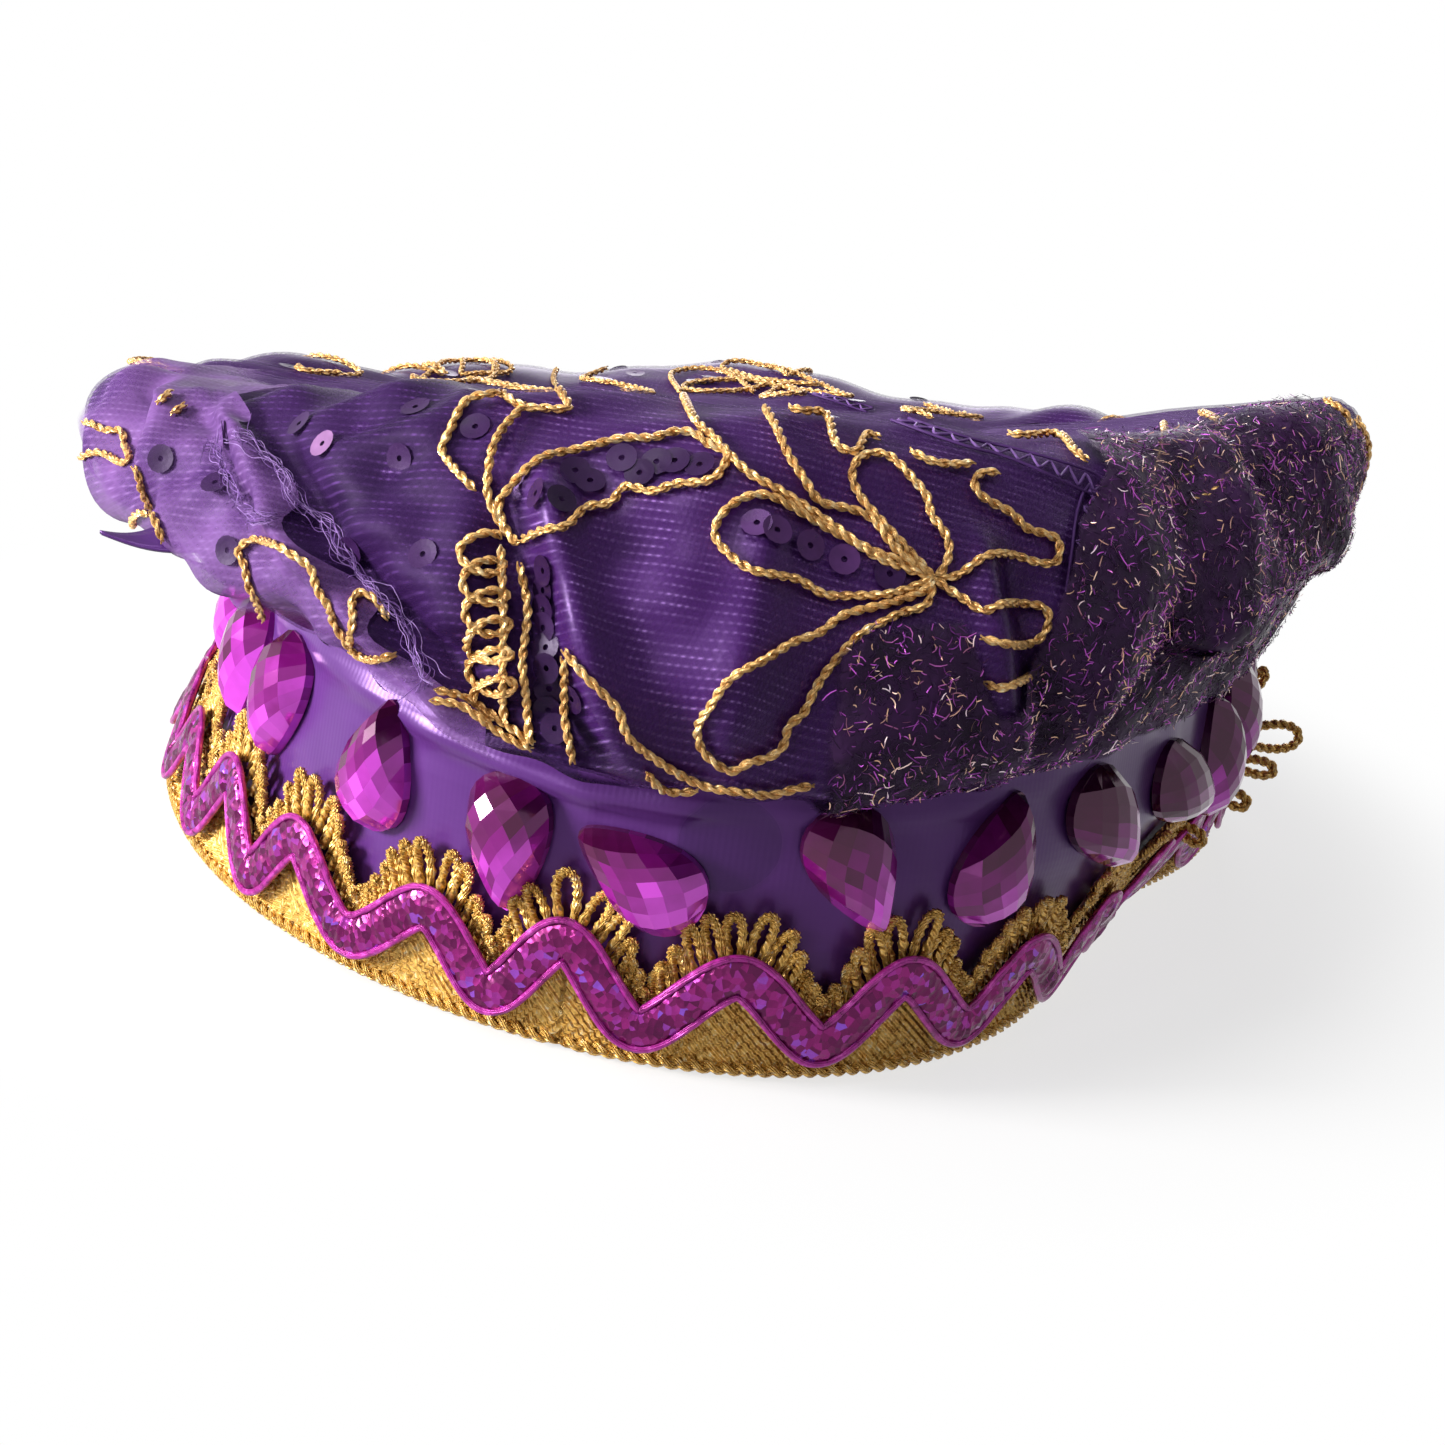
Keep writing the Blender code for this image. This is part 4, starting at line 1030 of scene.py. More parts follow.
def teardrop(turn):
    """Outline of a stone: along a cosine, across a sine that is fuller at the round end."""
    fullness = 0.72 + 0.34 * np.cos(turn)
    return paired(JEWEL_WIDTH / 2.0 * np.sin(turn) * fullness, JEWEL_LENGTH / 2.0 * np.cos(turn))


def make_jewel(name, angle, height, spin):
    """A foiled stone in a checkerboard cut: a square grid turned on its corner, rounded to a disc,
    stretched to the teardrop and raised to a dome, over an upright edge and a flat back. The facets'
    tint is a painted glow that rises to the right and downwards, on the side away from the light."""
    steps = np.linspace(-1.0, 1.0, JEWEL_CUTS)
    first, second = np.meshgrid(steps, steps, indexing="ij")
    long, wide = first * np.sqrt(1.0 - 0.5 * second**2), second * np.sqrt(1.0 - 0.5 * first**2)
    reach = np.minimum(np.hypot(long, wide), 1.0)
    rise = JEWEL_GIRDLE + JEWEL_RISE * (1.0 - reach**2.2) ** 0.62
    outline = teardrop(np.arctan2(wide, long) + 0.25 * math.pi)
    dome = np.dstack([reach[..., None] * outline, rise]).reshape(-1, 3)
    index = np.arange(JEWEL_CUTS**2).reshape(JEWEL_CUTS, JEWEL_CUTS)
    edge = np.concatenate([index[0, :-1], index[:-1, -1], index[-1, :0:-1], index[:0:-1, 0]])
    local = np.concatenate([dome, dome[edge] * (1.0, 1.0, 0.0)])
    foot = JEWEL_CUTS**2 + np.arange(len(edge))
    quads = np.concatenate([
        np.stack([index[:-1, :-1], index[:-1, 1:], index[1:, 1:], index[1:, :-1]], axis=-1).reshape(-1, 4),
        np.stack([foot, np.roll(foot, -1), np.roll(edge, -1), edge], axis=-1),
        foot[fan(len(edge))][:, ::-1]])
    here, along, up, outward = band_frame(angle, height, SATIN_OUTER)
    turn = math.radians(spin)
    side = along * math.cos(turn) + up * math.sin(turn)
    top = up * math.cos(turn) - along * math.sin(turn)
    middle = local[quads].mean(axis=1)
    # Painted glow: the facets' tint rises across the stone to the right and downwards, away from the key
    # lamp.
    away = (middle[:, 0] * (math.cos(turn) - math.sin(turn))
            - middle[:, 1] * (math.cos(turn) + math.sin(turn))) / JEWEL_WIDTH
    tints = np.clip(0.48 + away + chance.normal(0.0, 0.16, len(quads)), 0.0, 1.0)
    Mesh().add_faces(here + local @ np.stack([side, top, outward]), quads, local[:, :2], tints).finish(
        name + "_stone", stone_glow_finish, "purple_jewel", [name], smooth=False)


def make_jewels():
    """The row of stones: those of the front as they sit in the photograph, then one to each of the braid's
    valleys."""
    valleys = np.arange(FRONT_VALLEYS[0], BRAID_REPEATS - FRONT_VALLEYS[1]) + 0.5
    spots = list(FRONT_JEWELS) + [
        (angle, 0.0, 0.0 if i % 2 else 180.0)
        for i, angle in enumerate(girth_angles(BRAID_VALLEY, BRAID_OUTER, valleys / BRAID_REPEATS))]
    for i, (angle, drop, spin) in enumerate(spots):
        make_jewel(f"jewel_{i + 1:02d}", angle % 360.0, JEWEL_MID - drop, spin)


def cloth_map(points):
    """UV map of the crown's cloths, in metres: the rows climb the walls and run straight back over the
    roof."""
    x, y, z = np.moveaxis(points, -1, 0)
    return np.stack([x + 0.5 * (y - z), z + 0.6 * y], axis=-1)


def set_share(piece, name, share):
    """Store a share from 0 to 1 on a cloth's points: its cover, how far it is still whole, or how dull it
    is."""
    values = piece.data.attributes.new(name, "FLOAT", "POINT")
    values.data.foreach_set("value", share.astype(np.float32).ravel())


def make_crown_cloth(name, finish, slot, node, first, lift):
    """A cloth of the crown from a place up to the roof's centre, all the way round: the section's curve
    with gathers and folds. Both cloths share their angles and places, so that one stays over the other,
    and both are duller on the roof."""
    angles = np.linspace(360.0, 0.0, 540, endpoint=False)[:, None]
    places = np.linspace(0.0, ROOF_CENTRE, 10 * ROOF_CENTRE + 1)[None, 10 * first:]
    points = crown_cloth(angles, places, lift)
    points[:, -1] = points[:, -1].mean(axis=0)
    piece = Mesh().add_grid(points, round_rows=True, uv=cloth_map(points)).finish(name, finish, slot, [node])
    set_share(piece, "dull", np.broadcast_to(ease(places, 3.9, 5.2), points.shape[:2]))
    return piece


def make_crown():
    """The crown's satin and the whole net over it."""
    satin = make_crown_cloth("crown_satin_cloth", crown_finish, "purple_satin", "crown_satin", 0, SATIN_LIFT)
    thicken(satin, CROWN_WALL)
    net = make_crown_cloth("net_overlay_cloth", veil_finish, "purple_net", "net_overlay", 1, NET_LIFT)
    set_share(net, "cover", np.ones(len(net.data.vertices)))
    return net


def make_net_fold(name, left, left_slant, right, right_slant, first, last, thin, finish):
    """A further layer of the net over the left of the crown: its cloth between two slanted lines,
    crumpled by short waves in all directions. One that doesn't thin out lies higher, and rises at its
    frayed right edge."""
    share = np.linspace(1.0, 0.0, 130)[:, None]
    places = np.linspace(first, last, 80)[None, :]
    start = left + left_slant * (places - FOLD_RIM)
    end = right + right_slant * (places - FOLD_RIM) + 1.2 * np.sin(9.0 * places)
    angles = start + (end - start) * share
    rise = FOLD_STAND + FOLD_EDGE_RISE * ease(share, 0.90, 1.0) if thin == 1.0 else 0.0
    fine = FINE_DEPTH * crumple(crown_skin(angles, places), FINE_WAVES)
    points = crown_cloth(angles, places, NET_LIFT + FOLD_GAP + fine + rise)
    piece = Mesh().add_grid(points, uv=cloth_map(points)).finish(name, finish, "purple_net")
    across = ease(share, 0.0, 0.2) * (1.0 - ease(share, thin, 1.001))
    cover = across * ease(places, first, first + 0.4) * (1.0 - ease(places, last - 0.6, last))
    set_share(piece, "cover", cover)
    return piece


def sight_tree(pieces):
    """The search tree of several pieces' faces, for the photograph's sight lines."""
    vertices, quads, count = [], [], 0
    for data in (piece.data for piece in pieces):
        places, corners = np.empty((len(data.vertices), 3), np.float32), np.empty(len(data.loops), np.int32)
        data.vertices.foreach_get("co", places.ravel())
        data.loops.foreach_get("vertex_index", corners)
        vertices.append(places)
        quads.append(corners.reshape(-1, 4) + count)
        count += len(places)
    return BVHTree.FromPolygons(np.concatenate(vertices).tolist(), np.concatenate(quads).tolist())


def tinsel_cover(angle, place):
    """How much of the crown the tinsel covers: one inside an outline whose top follows knots over the
    angle."""
    top = np.interp(angle, TINSEL_TOP_ANGLES, TINSEL_TOP_PLACES)
    right = 346.0 + 3.5 * np.sin(2.1 * np.asarray(place) + 0.4) + 2.0 * np.sin(5.3 * np.asarray(place))
    sides = ease(angle, 283.0, 285.5) * (1.0 - ease(angle - right, -2.0, 1.5))
    return sides * ease(top - place, -0.10, 0.22) * ease(place, 1.05, 1.25)


def make_tinsel():
    """The dark tinsel panel: a patch of the crown's cloth that frays out at its outline, with filaments
    strewn over it at random."""
    angles = np.linspace(*TINSEL_ANGLES[::-1], 142)[:, None]
    places = np.linspace(*TINSEL_PLACES, 60)[None, :]
    points = crown_cloth(angles, places, TINSEL_LIFT)
    panel = Mesh().add_grid(points, uv=paired(0.1 * np.radians(angles), 0.012 * places)).finish(
        "tinsel_panel_cloth", tinsel_ground, "tinsel_net", ["tinsel_panel"])
    set_share(panel, "cover", tinsel_cover(angles, places))
    strands = Mesh()
    angles, places = (chance.uniform(*span, TINSEL_STRANDS) for span in (TINSEL_ANGLES, TINSEL_PLACES))
    kept = tinsel_cover(angles, places) > chance.uniform(0.1, 1.0, TINSEL_STRANDS)
    add_filaments(strands, angles[kept], places[kept])
    strands.finish("tinsel_filaments", tinsel_finish, "tinsel_net")


def add_filaments(mesh, angles, places):
    """Short flat strands of foil: four points along a small arc that stands off the cloth, about a tenth
    of a millimetre wide. Most are dark, and a few gold or silver."""
    count = len(angles)
    base, normal = crown_cloth(angles, places, TINSEL_LIFT + STRAND_GAP), crown_normal(angles, places)
    slant = chance.uniform(0.0, FULL_TURN, count)
    flat = unit(np.cross(normal, np.array([0.0, 0.0, 1.0])))
    way = np.cos(slant)[:, None] * flat + np.sin(slant)[:, None] * np.cross(normal, flat)
    side = np.cross(normal, way)
    length = (STRAND_SHORT + STRAND_SPAN * chance.uniform(0.0, 1.0, count) ** 2)[:, None, None]
    bend = chance.normal(0.0, STRAND_BEND, count)[:, None, None]
    stand = chance.uniform(0.0, STRAND_STAND, count)[:, None, None]
    t = np.linspace(-0.5, 0.5, 4)[None, :, None]
    middle = (base[:, None] + way[:, None] * length * t
              + side[:, None] * (bend * length * (1.0 - 4.0 * t**2)) + normal[:, None] * (stand * (t + 0.5)))
    half_width = STRAND_HALF_WIDTH * (1.0 - 1.2 * t**2)
    tilt = unit(side + chance.uniform(-1.0, 1.0, (count, 1)) * normal)[:, None]
    edges = np.stack([middle - half_width * tilt, middle + half_width * tilt], axis=2)
    index = np.arange(count * 8).reshape(count, 4, 2)
    quads = np.stack([index[:, :-1, 0], index[:, :-1, 1], index[:, 1:, 1], index[:, 1:, 0]], axis=-1)
    uv = np.tile(np.array([(k / 3.0, s) for k in range(4) for s in (0.0, 1.0)]), (count, 1))
    tints = np.repeat(chance.uniform(0.0, 1.0, count) ** 2.1, 3)
    mesh.add_faces(edges.reshape(-1, 3), quads.reshape(-1, 4), uv, tints)


# Cords of the front as lines through the photograph's pixels, for each piece that they belong to
CORD_LINES = {
    "flower_cord": (
        ((932, 578), (912, 565), (880, 555), (837, 535), (805, 517), (769, 497), (744, 499), (723, 514),
         (714, 535), (726, 553), (751, 571), (775, 576), (798, 581), (823, 596), (851, 597), (884, 596),
         (909, 589), (932, 578)),
        ((932, 578), (894, 549), (873, 521), (848, 510), (819, 503), (803, 480), (787, 456), (776, 431),
         (764, 410), (751, 392), (734, 378), (712, 371), (687, 371), (670, 377), (680, 394), (695, 423),
         (715, 440), (728, 455), (749, 475), (772, 488), (792, 500), (837, 530), (880, 560), (932, 578)),
        ((932, 578), (875, 517), (859, 497), (851, 478), (857, 462), (873, 456), (891, 460), (912, 481),
         (926, 499), (930, 517), (944, 535), (948, 553), (941, 571), (932, 578)),
        ((932, 578), (951, 578), (966, 571), (987, 556), (1012, 555), (1037, 562), (1055, 562), (1057, 542),
         (1044, 535), (1026, 530), (1009, 514), (991, 505), (976, 494), (973, 481), (984, 474), (998, 476)),
        ((932, 578), (946, 590), (962, 599), (984, 612), (1001, 605), (1023, 605), (1044, 608), (1048, 624),
         (1037, 640), (1016, 646), (998, 642), (980, 637)),
        ((932, 578), (923, 592), (894, 603), (866, 610), (841, 617), (819, 633), (791, 642), (762, 660),
         (741, 671), (726, 685), (712, 706), (700, 724), (703, 746), (716, 760), (732, 769), (748, 760),
         (766, 756), (782, 744), (787, 724), (801, 714), (812, 692), (823, 674), (841, 653), (859, 635),
         (880, 624), (901, 614), (926, 606), (932, 578)),
        ((984, 681), (1001, 687), (1023, 678), (1041, 664)),
        ((726, 371), (759, 381), (794, 385), (819, 387)),
        ((769, 399), (798, 414), (826, 417), (834, 446), (855, 455), (866, 437), (880, 442)),
        ((909, 453), (930, 464), (951, 467), (973, 466)),
        ((923, 406), (959, 417), (991, 431), (1023, 439), (1059, 437), (1073, 453), (1087, 464)),
    ),
    "leaf_cord_front": (
        ((524, 540), (545, 530), (565, 527), (584, 509), (611, 505), (626, 488), (653, 494), (676, 486),
         (703, 484), (720, 475), (728, 455), (711, 448), (695, 436), (676, 434), (653, 440), (626, 440),
         (599, 446), (572, 453), (545, 459), (526, 473), (511, 490), (501, 502), (503, 521), (515, 540),
         (524, 540)),
        ((495, 363), (493, 378), (501, 394), (522, 409), (545, 411), (570, 411), (557, 390), (553, 377),
         (567, 357)),
        ((526, 407), (507, 427), (495, 448), (490, 471), (488, 494), (495, 515), (507, 532), (522, 542)),
        ((503, 396), (472, 400), (459, 415), (451, 432), (443, 450), (451, 465), (465, 480), (476, 492)),
        ((567, 648), (584, 671), (603, 694), (618, 713), (626, 736), (649, 755), (676, 771), (707, 784),
         (738, 789), (768, 793), (795, 786), (815, 783)),
        ((645, 771), (661, 786), (680, 789), (699, 787)),
    ),
    "leaf_cord_front_left": (
        tuple((480 + 0.25 * k + 21 * math.cos(0.6 * k), 540 + 2.75 * k - 13 * math.sin(0.6 * k))
              for k in range(62)),
        tuple((500 + 0.1 * k, 545 + 3.3 * k) for k in range(0, 56, 5)),
        ((522, 563), (528, 602), (524, 640), (522, 671), (528, 705), (532, 744)),
        ((430, 700), (461, 705), (484, 721), (507, 736), (534, 748)),
        ((434, 690), (463, 697), (488, 712), (512, 728), (536, 742)),
        ((567, 655), (568, 682), (567, 713), (572, 744), (574, 763)),
    ),
    "leaf_cord_left": (
        ((266, 625), (260, 603), (251, 584), (248, 566), (240, 550), (254, 539), (272, 541), (291, 556),
         (310, 569), (319, 588), (332, 606), (338, 625), (351, 644), (360, 653)),
        ((352, 644), (354, 622), (352, 606), (360, 595), (376, 603), (388, 622)),
        ((240, 622), (254, 630), (269, 633)),
        ((351, 647), (372, 658), (398, 655)),
        ((79, 425), (91, 423), (107, 430), (124, 431), (127, 447), (132, 459), (122, 464), (107, 455),
         (94, 453), (83, 458)),
        ((132, 459), (141, 472), (144, 487), (152, 506), (160, 525), (166, 541)),
        ((157, 516), (144, 511), (135, 519), (141, 534), (157, 544), (174, 550)),
        ((158, 406), (165, 400), (172, 394)),
        ((171, 417), (179, 412), (187, 406)),
    ),
    "leaf_cord_right": (
        ((1200, 415), (1213, 420), (1222, 430), (1207, 443), (1197, 460), (1187, 477), (1175, 493),
         (1177, 508), (1193, 503), (1210, 497), (1223, 480), (1235, 468)),
        ((1163, 420), (1165, 440), (1158, 463), (1152, 483)),
        ((1157, 707), (1167, 690), (1170, 680)),
        ((1150, 717), (1173, 710), (1193, 707)),
    ),
    "leaf_cord_right_rim": (
        ((1320, 400), (1337, 410), (1347, 423), (1343, 443)),
        ((1353, 420), (1365, 443), (1362, 467), (1353, 493), (1340, 513), (1330, 525), (1313, 520),
         (1310, 513)),
        ((1330, 530), (1320, 543), (1300, 552)),
        ((1323, 560), (1303, 580), (1287, 593)),
        ((1223, 677), (1240, 653)),
    ),
}
# Cords of the sides, the back and the roof: shape, angle, run from the seam, direction, and the shape's two
# sizes as its outline takes them
LAID_CORDS = {
    "leaf_cord_right": (("leaf", 333.0, 0.027, 62.0, 0.0100, 0.0036),),
    "leaf_cord_right_rim": (
        ("leaf", 8.0, 0.026, 60.0, 0.0120, 0.0038), ("scroll", 22.0, 0.034, 20.0, 0.026, 0.005)),
    "leaf_cord_back_right": (
        ("leaf", 52.0, 0.040, 30.0, 0.0150, 0.0046), ("petal", 52.0, 0.040, 120.0, 0.020, 0.004),
        ("petal", 52.0, 0.040, 240.0, 0.018, 0.004), ("petal", 52.0, 0.040, 300.0, 0.016, 0.0036),
        ("scroll", 32.0, 0.052, 70.0, 0.030, 0.006)),
    "leaf_cord_back": (
        ("leaf", 96.0, 0.040, 150.0, 0.0150, 0.0046), ("petal", 96.0, 0.040, 30.0, 0.022, 0.0042),
        ("petal", 96.0, 0.040, 270.0, 0.017, 0.004), ("petal", 96.0, 0.040, 90.0, 0.020, 0.004),
        ("scroll", 74.0, 0.050, 100.0, 0.030, 0.006), ("scroll", 118.0, 0.048, 80.0, 0.030, -0.006)),
    "leaf_cord_back_left": (
        ("leaf", 140.0, 0.044, 35.0, 0.0150, 0.0046), ("petal", 140.0, 0.044, 130.0, 0.020, 0.004),
        ("petal", 140.0, 0.044, 210.0, 0.018, 0.004), ("petal", 140.0, 0.044, 290.0, 0.018, 0.0036),
        ("scroll", 162.0, 0.056, 60.0, 0.032, 0.006)),
    "leaf_cord_left": (
        ("leaf", 214.0, 0.016, 20.0, 0.0110, 0.0036), ("scroll", 186.0, 0.050, 30.0, 0.030, 0.006)),
}
OUTLINES = {"leaf": leaf_outline, "petal": petal_outline, "scroll": scroll_outline}


def make_cords(tree):
    """The gold cord embroidery: every line couched on the net, its middle a little less than its radius
    up."""
    for node in sorted(set(CORD_LINES) | set(LAID_CORDS)):
        lines = [line for knots in CORD_LINES.get(node, ()) for line in photo_paths(knots, tree)]
        lines += [laid_outline(angle, run, OUTLINES[shape](*sizes), NET_LIFT)
                  for shape, angle, run, *sizes in LAID_CORDS.get(node, ())]
        mesh = Mesh()
        for path, normal in lines:
            add_two_ply(mesh, path + CORD_SEAT * CORD_RADIUS * normal, normal, CORD_RADIUS, CORD_PITCH)
        mesh.finish(node + "_couched", cord_finish, "gold_cord", [node])


# Loose sequins: pixel and tint, from dark to pale
SEQUINS = (
    (324, 445, 1.0), (301, 425, 0.2), (401, 458, 0.25), (352, 550, 0.2), (424, 555, 0.25), (162, 459, 0.1),
    (229, 550, 0.15), (226, 434, 0.3), (416, 409, 0.2), (216, 484, 0.2), (889, 574, 0.2), (657, 463, 0.1),
    (622, 459, 0.15), (538, 494, 0.2), (476, 428, 0.2), (545, 609, 0.1), (545, 628, 0.15), (549, 709, 0.1),
    (574, 698, 0.1), (844, 560, 0.6), (809, 546, 0.55), (776, 531, 0.6), (757, 524, 0.5), (1273, 523, 0.55),
    (545, 570, 0.1), (545, 590, 0.05), (547, 648, 0.1), (548, 668, 0.05), (550, 688, 0.1), (556, 728, 0.08),
    (560, 500, 0.05), (590, 482, 0.1), (640, 474, 0.05), (675, 462, 0.1), (700, 466, 0.12),
    (575, 472, 0.08),
)


def add_sequin(mesh, spot_on, normal, tint):
    """A thin cupped ring: circles of six radii from the hole to the rim and back under, joined all
    round."""
    tilt = unit(normal + 0.06 * chance.normal(0.0, 1.0, 3))
    side = unit(np.cross(tilt, np.array([0.3, 0.5, 0.8])))
    ahead = np.cross(tilt, side)
    turn = circle(14)[:, None]
    reach = SEQUIN_RADIUS * np.array([0.20, 0.62, 1.0, 0.98, 0.60, 0.21])[None, :]
    rise = SEQUIN_RADIUS * np.array([0.03, 0.05, 0.08, 0.06, 0.02, 0.00])[None, :]
    points = (spot_on + SEQUIN_GAP * normal + (reach * np.cos(turn))[..., None] * side
              + (reach * np.sin(turn))[..., None] * ahead + rise[..., None] * tilt)
    mesh.add_grid(points, round_rows=True, round_columns=True, tint=tint)


def make_sequins(tree):
    """Loose sequins: those that the photograph shows, and a few more strewn over the sides, back and
    roof."""
    mesh = Mesh()
    for x, y, tint in SEQUINS:
        for middle, normal in zip(*cast_from_photo([(x, y)], tree)):
            add_sequin(mesh, middle, normal, tint)
    angles, places = chance.uniform(0.0, 205.0, 46), chance.uniform(2.4, 6.2, 46)
    for middle, normal in zip(crown_cloth(angles, places, NET_LIFT), crown_normal(angles, places)):
        add_sequin(mesh, middle, normal, chance.uniform(0.0, 0.6))
    mesh.finish("loose_sequins", sequin_finish, "purple_net", smooth=False)


# A loose corner of cloth at the left: pixels of its root's two ends and of its tip
LOOSE_CORNER = ((168, 510), (205, 545), (101, 531))


def make_loose_corner(tree, root_depth=0.006, bow=0.0012):
    """A loose pointed corner of cloth under the left flank: straight lines from its root, inside the
    crown, to its tip, bowed by half a sine."""
    roots = cast_from_photo(LOOSE_CORNER[:2], tree)[0] - root_depth * eye_back
    root = roots.mean(axis=0)
    offset = np.array(LOOSE_CORNER[2]) - PHOTO_SIZE / 2.0
    sight = (offset[0] * EYE_RIGHT - offset[1] * EYE_UP) / FOCAL_PIXELS - eye_back
    tip = EYE + ((EYE - root) @ eye_back) * sight
    along = np.linspace(0.0, 1.0, 16)[:, None, None]
    across = np.linspace(-0.5, 0.5, 5)[None, :, None]
    points = (root * (1.0 - along) + tip * along + across * (1.0 - 0.94 * along) * (roots[0] - roots[1])
              - bow * np.sin(math.pi * along) * EYE_UP)
    piece = Mesh().add_grid(points).finish("loose_satin_corner", crown_finish, "purple_satin")
    thicken(piece, CROWN_WALL)


# Frayed folds and hems of the net, as lines through the photograph's pixels
NET_EDGES = (
    ((213, 447), (235, 481), (260, 516), (276, 528)),
    ((238, 437), (279, 475), (297, 509), (335, 537), (373, 594), (404, 631), (430, 690)),
)
NET_HEM = (
    (815, 395), (870, 412), (960, 443), (1000, 453), (1033, 463), (1070, 477), (1100, 490), (1092, 503),
    (1085, 530), (1080, 567), (1077, 597),
)
# Threads of the hem's stitching: shift to the side, swing of the zigzag and tint
HEM_THREADS = ((0.0, 0.0013, 0.6), (0.0017, 0.0, 0.35), (-0.0017, 0.0, 0.35))


def add_frayed_edge(mesh, path, normal):
    """Fine threads that wander along a line by smoothed random steps, and frayed ends that stand off it."""
    points, ups, _ = resampled(path, normal, FRAY_STEP)
    side = sideways(points, ups)
    for _ in range(FRAY_THREADS):
        wander = smoothed(chance.normal(0.0, FRAY_DRIFT, (len(points), 1)), 5)
        drift = wander + chance.normal(0.0, FRAY_SHIFT)
        lift = FRAY_LIFT + np.abs(smoothed(chance.normal(0.0, FRAY_LOOSE, (len(points), 1)), 4))
        mesh.add_tube(points + drift * side + lift * ups, ups, FRAY_RADIUS, 4, tint=chance.uniform(0.2, 0.8))
    fray = np.linspace(0.0, 1.0, 5)[:, None]
    for start in range(0, len(points), 2):
        reach = chance.normal(0.0, 0.0011) * side[start] + chance.uniform(0.0008, 0.0018) * ups[start]
        curl = chance.normal(0.0, 0.0006, 3) * np.sin(math.pi * fray)
        mesh.add_tube(points[start] + fray * reach + curl, np.tile(ups[start], (5, 1)), FRAY_RADIUS, 4,
                      tint=chance.uniform(0.2, 0.9))


def make_net_edges(tree):
    """Where the net is folded or cut: frayed threads, and the hem's zigzag stitches between two straight
    rows."""
    mesh = Mesh()
    for knots in NET_EDGES:
        for path, normal in photo_paths(knots, tree):
            add_frayed_edge(mesh, path, normal)
    for path, normal in photo_paths(NET_HEM, tree):
        points, ups, run = resampled(path, normal, STITCH_STEP)
        zig = np.arcsin(np.sin(FULL_TURN * run / STITCH_LENGTH)) * 2.0 / math.pi
        for shift, swing, tint in HEM_THREADS:
            stitch = points + (shift + swing * zig)[:, None] * sideways(points, ups) + STITCH_LIFT * ups
            mesh.add_tube(stitch, ups, STITCH_RADIUS, 4, tint=tint)
    mesh.finish("net_edge_threads", fuzz_finish, "purple_net")


def plainly_seen(tree):
    """One for what the camera sees, also by reflection or through glass, and nothing for the light on the
    cap."""
    path = add_node(tree, "ShaderNodeLightPath").outputs
    return maths(tree, "MAXIMUM", path["Is Camera Ray"],
                 maths(tree, "MAXIMUM", path["Is Glossy Ray"], path["Is Transmission Ray"]))


def studio_floor(half=6.0):
    """A plain pale floor that fades to clear white away from the cap, so that only the cap's shadow
    shows."""
    finish, tree, shader = new_finish("pale_floor")
    seen = plainly_seen(tree)
    pale = blend_colours(tree, noise(tree, 6.0), (0.92, 0.92, 0.925), (0.95, 0.95, 0.955))
    fill(tree, shader, {"Base Color": blend_colours(tree, seen, (0.40, 0.40, 0.40), pale),
                        "Roughness": 0.9, "Specular IOR Level": 0.1})
    away = add_node(tree, "ShaderNodeVectorMath", {0: spot(tree)}, operation="LENGTH").outputs["Value"]
    fade = ranged(tree, away, 0.10, 0.155, 0.72, 1.0, "SMOOTHSTEP")
    glow = add_node(tree, "ShaderNodeEmission", {"Color": (1.0, 1.0, 1.0), "Strength": 1.0})
    mix = add_node(tree, "ShaderNodeMixShader", {
        0: maths(tree, "MULTIPLY", fade, seen), 1: shader.outputs[0], 2: glow.outputs[0]})
    fill(tree, tree.nodes["Material Output"], {"Surface": mix.outputs[0]})
    data = bpy.data.meshes.new("studio_floor")
    corners = [(-half, -half, 0.0), (half, -half, 0.0), (half, half, 0.0), (-half, half, 0.0)]
    data.from_pydata(corners, [], [(0, 1, 2, 3)])
    data.materials.append(finish)
    floor = bpy.data.objects.new("studio_floor", data)
    bpy.context.scene.collection.objects.link(floor)


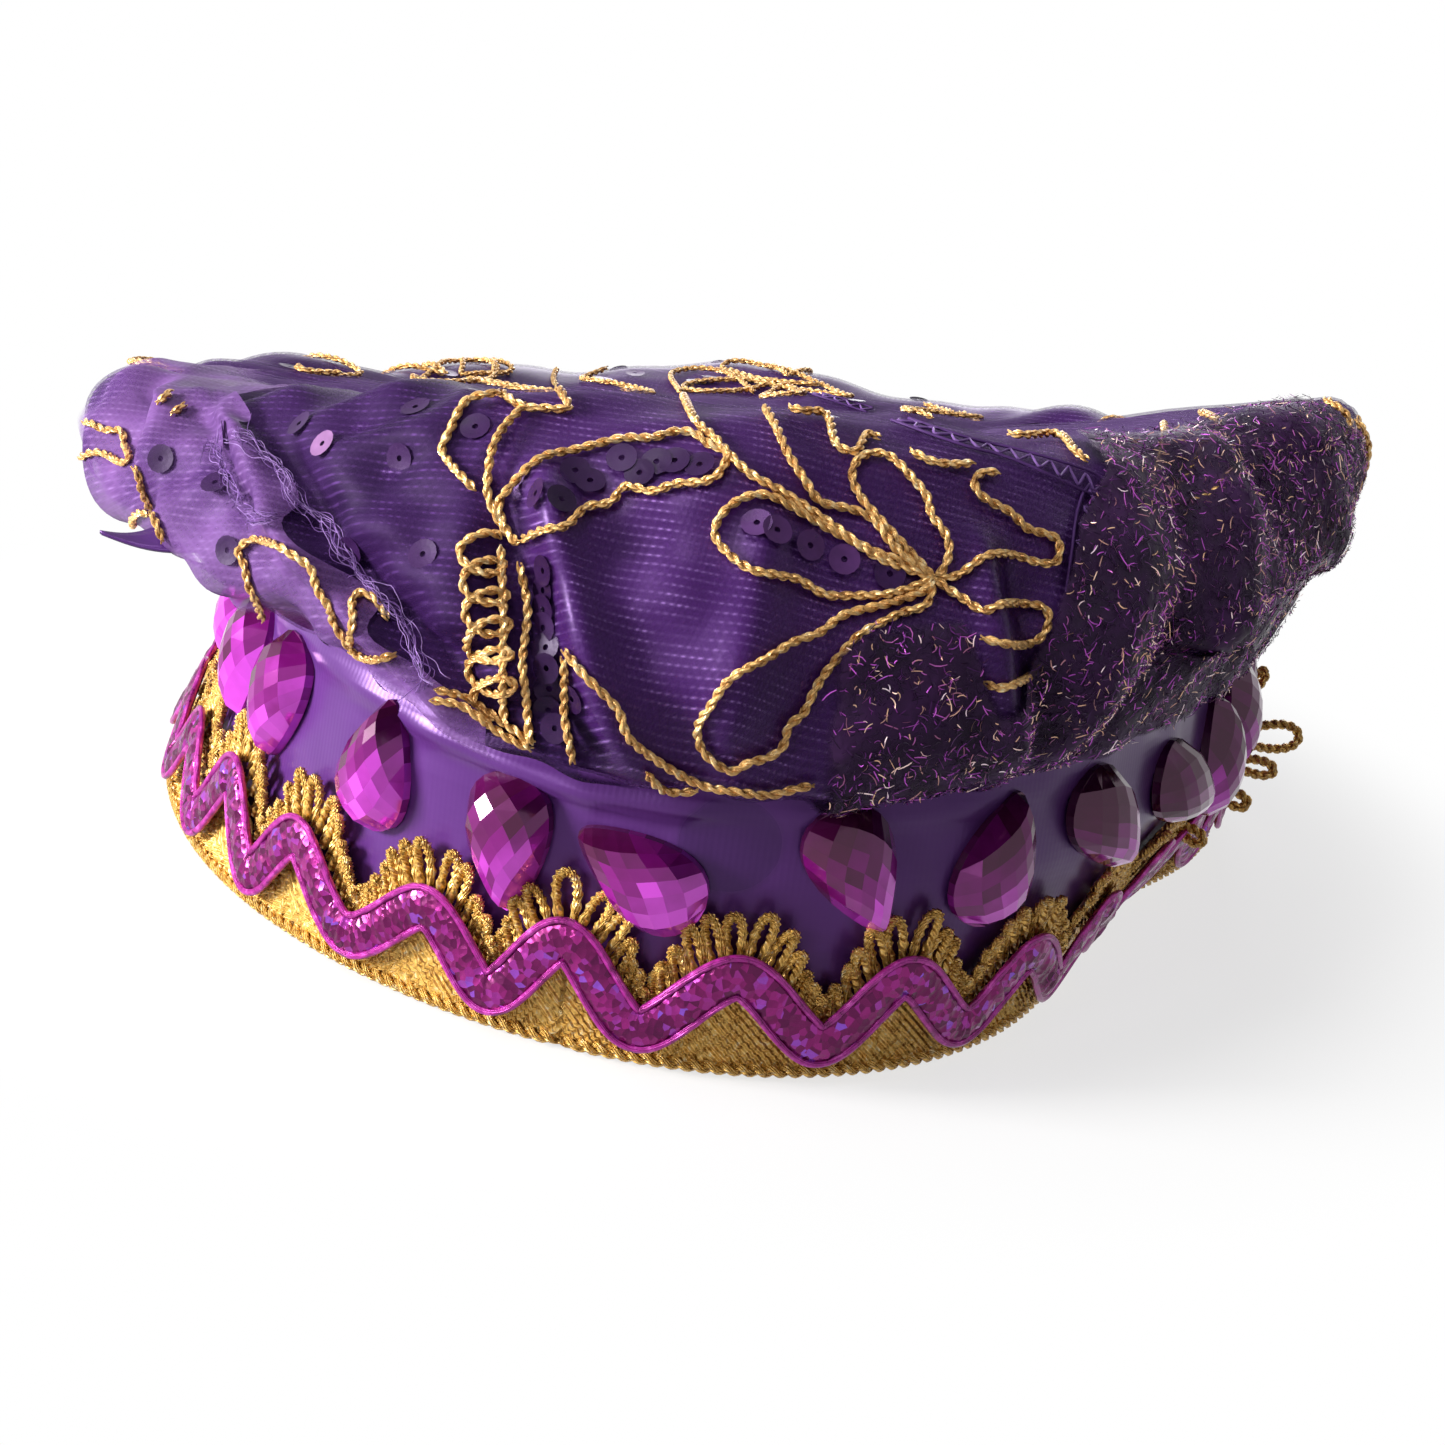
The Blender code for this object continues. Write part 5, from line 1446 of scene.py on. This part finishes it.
# Square soft lamps: place, size, watts and colour
LAMPS = {
    "key_lamp": ((-0.70, -0.34, 0.24), 0.24, 14.5, (1.0, 0.985, 0.97)),
    "top_lamp": ((-0.24, -0.30, 0.78), 0.24, 2.2, (1.0, 1.0, 1.0)),
    "front_lamp": ((-0.34, -0.76, 0.24), 0.14, 0.8, (0.98, 0.98, 1.0)),
    "back_lamp": ((-0.12, 0.86, 0.30), 0.40, 3.4, (0.98, 0.98, 1.0)),
}
LAMP_TARGET = Vector((0.0, 0.0, 0.05))


def studio_light():
    """A key lamp from the left, three weaker ones from above, the front and behind, all facing the cap,
    and a world that is white to the camera."""
    for name, (place, size, watts, tone) in LAMPS.items():
        lamp = bpy.data.lights.new(name, "AREA")
        lamp.size, lamp.energy, lamp.color = size, watts, tone
        holder = bpy.data.objects.new(name, lamp)
        facing = (LAMP_TARGET - Vector(place)).to_track_quat("-Z", "Y").to_matrix().to_4x4()
        holder.matrix_world = Matrix.Translation(place) @ facing
        bpy.context.scene.collection.objects.link(holder)
    world = bpy.data.worlds.new("studio_world")
    world.use_nodes = True
    tree = world.node_tree
    fill(tree, tree.nodes["Background"], {
        "Color": (1.0, 1.0, 1.0), "Strength": ranged(tree, plainly_seen(tree), 0.0, 1.0, 0.05, 1.0)})
    bpy.context.scene.world = world


def studio_camera(sensor=36.0):
    """The photograph's view: a 63 mm lens on a 36 mm frame, rolled as the photograph is."""
    lens = bpy.data.cameras.new("photo_camera")
    lens.sensor_width = sensor
    lens.lens = sensor * FOCAL_PIXELS / PHOTO_SIZE
    lens.clip_start = 0.01
    camera = bpy.data.objects.new("photo_camera", lens)
    turn = np.eye(4)
    turn[:3] = np.stack([EYE_RIGHT, EYE_UP, eye_back, EYE], axis=1)
    camera.matrix_world = Matrix(turn.tolist())
    bpy.context.scene.collection.objects.link(camera)
    bpy.context.scene.camera = camera
    bpy.context.scene.view_settings.view_transform = "Standard"


make_band_satin()
make_lining()
make_braid()
make_ribbon()
make_jewels()
crown_net = make_crown()
# The fold's net carries painted light and the tuck's net painted shade.
net_folds = [make_net_fold(*fold, finish) for fold, finish in zip(NET_FOLDS, (lit_fold_finish, shaded_tuck_finish))]
net_tree = sight_tree([crown_net] + net_folds)
make_loose_corner(net_tree)
make_tinsel()
make_cords(net_tree)
make_sequins(net_tree)
make_net_edges(net_tree)
studio_floor()
studio_light()
studio_camera()
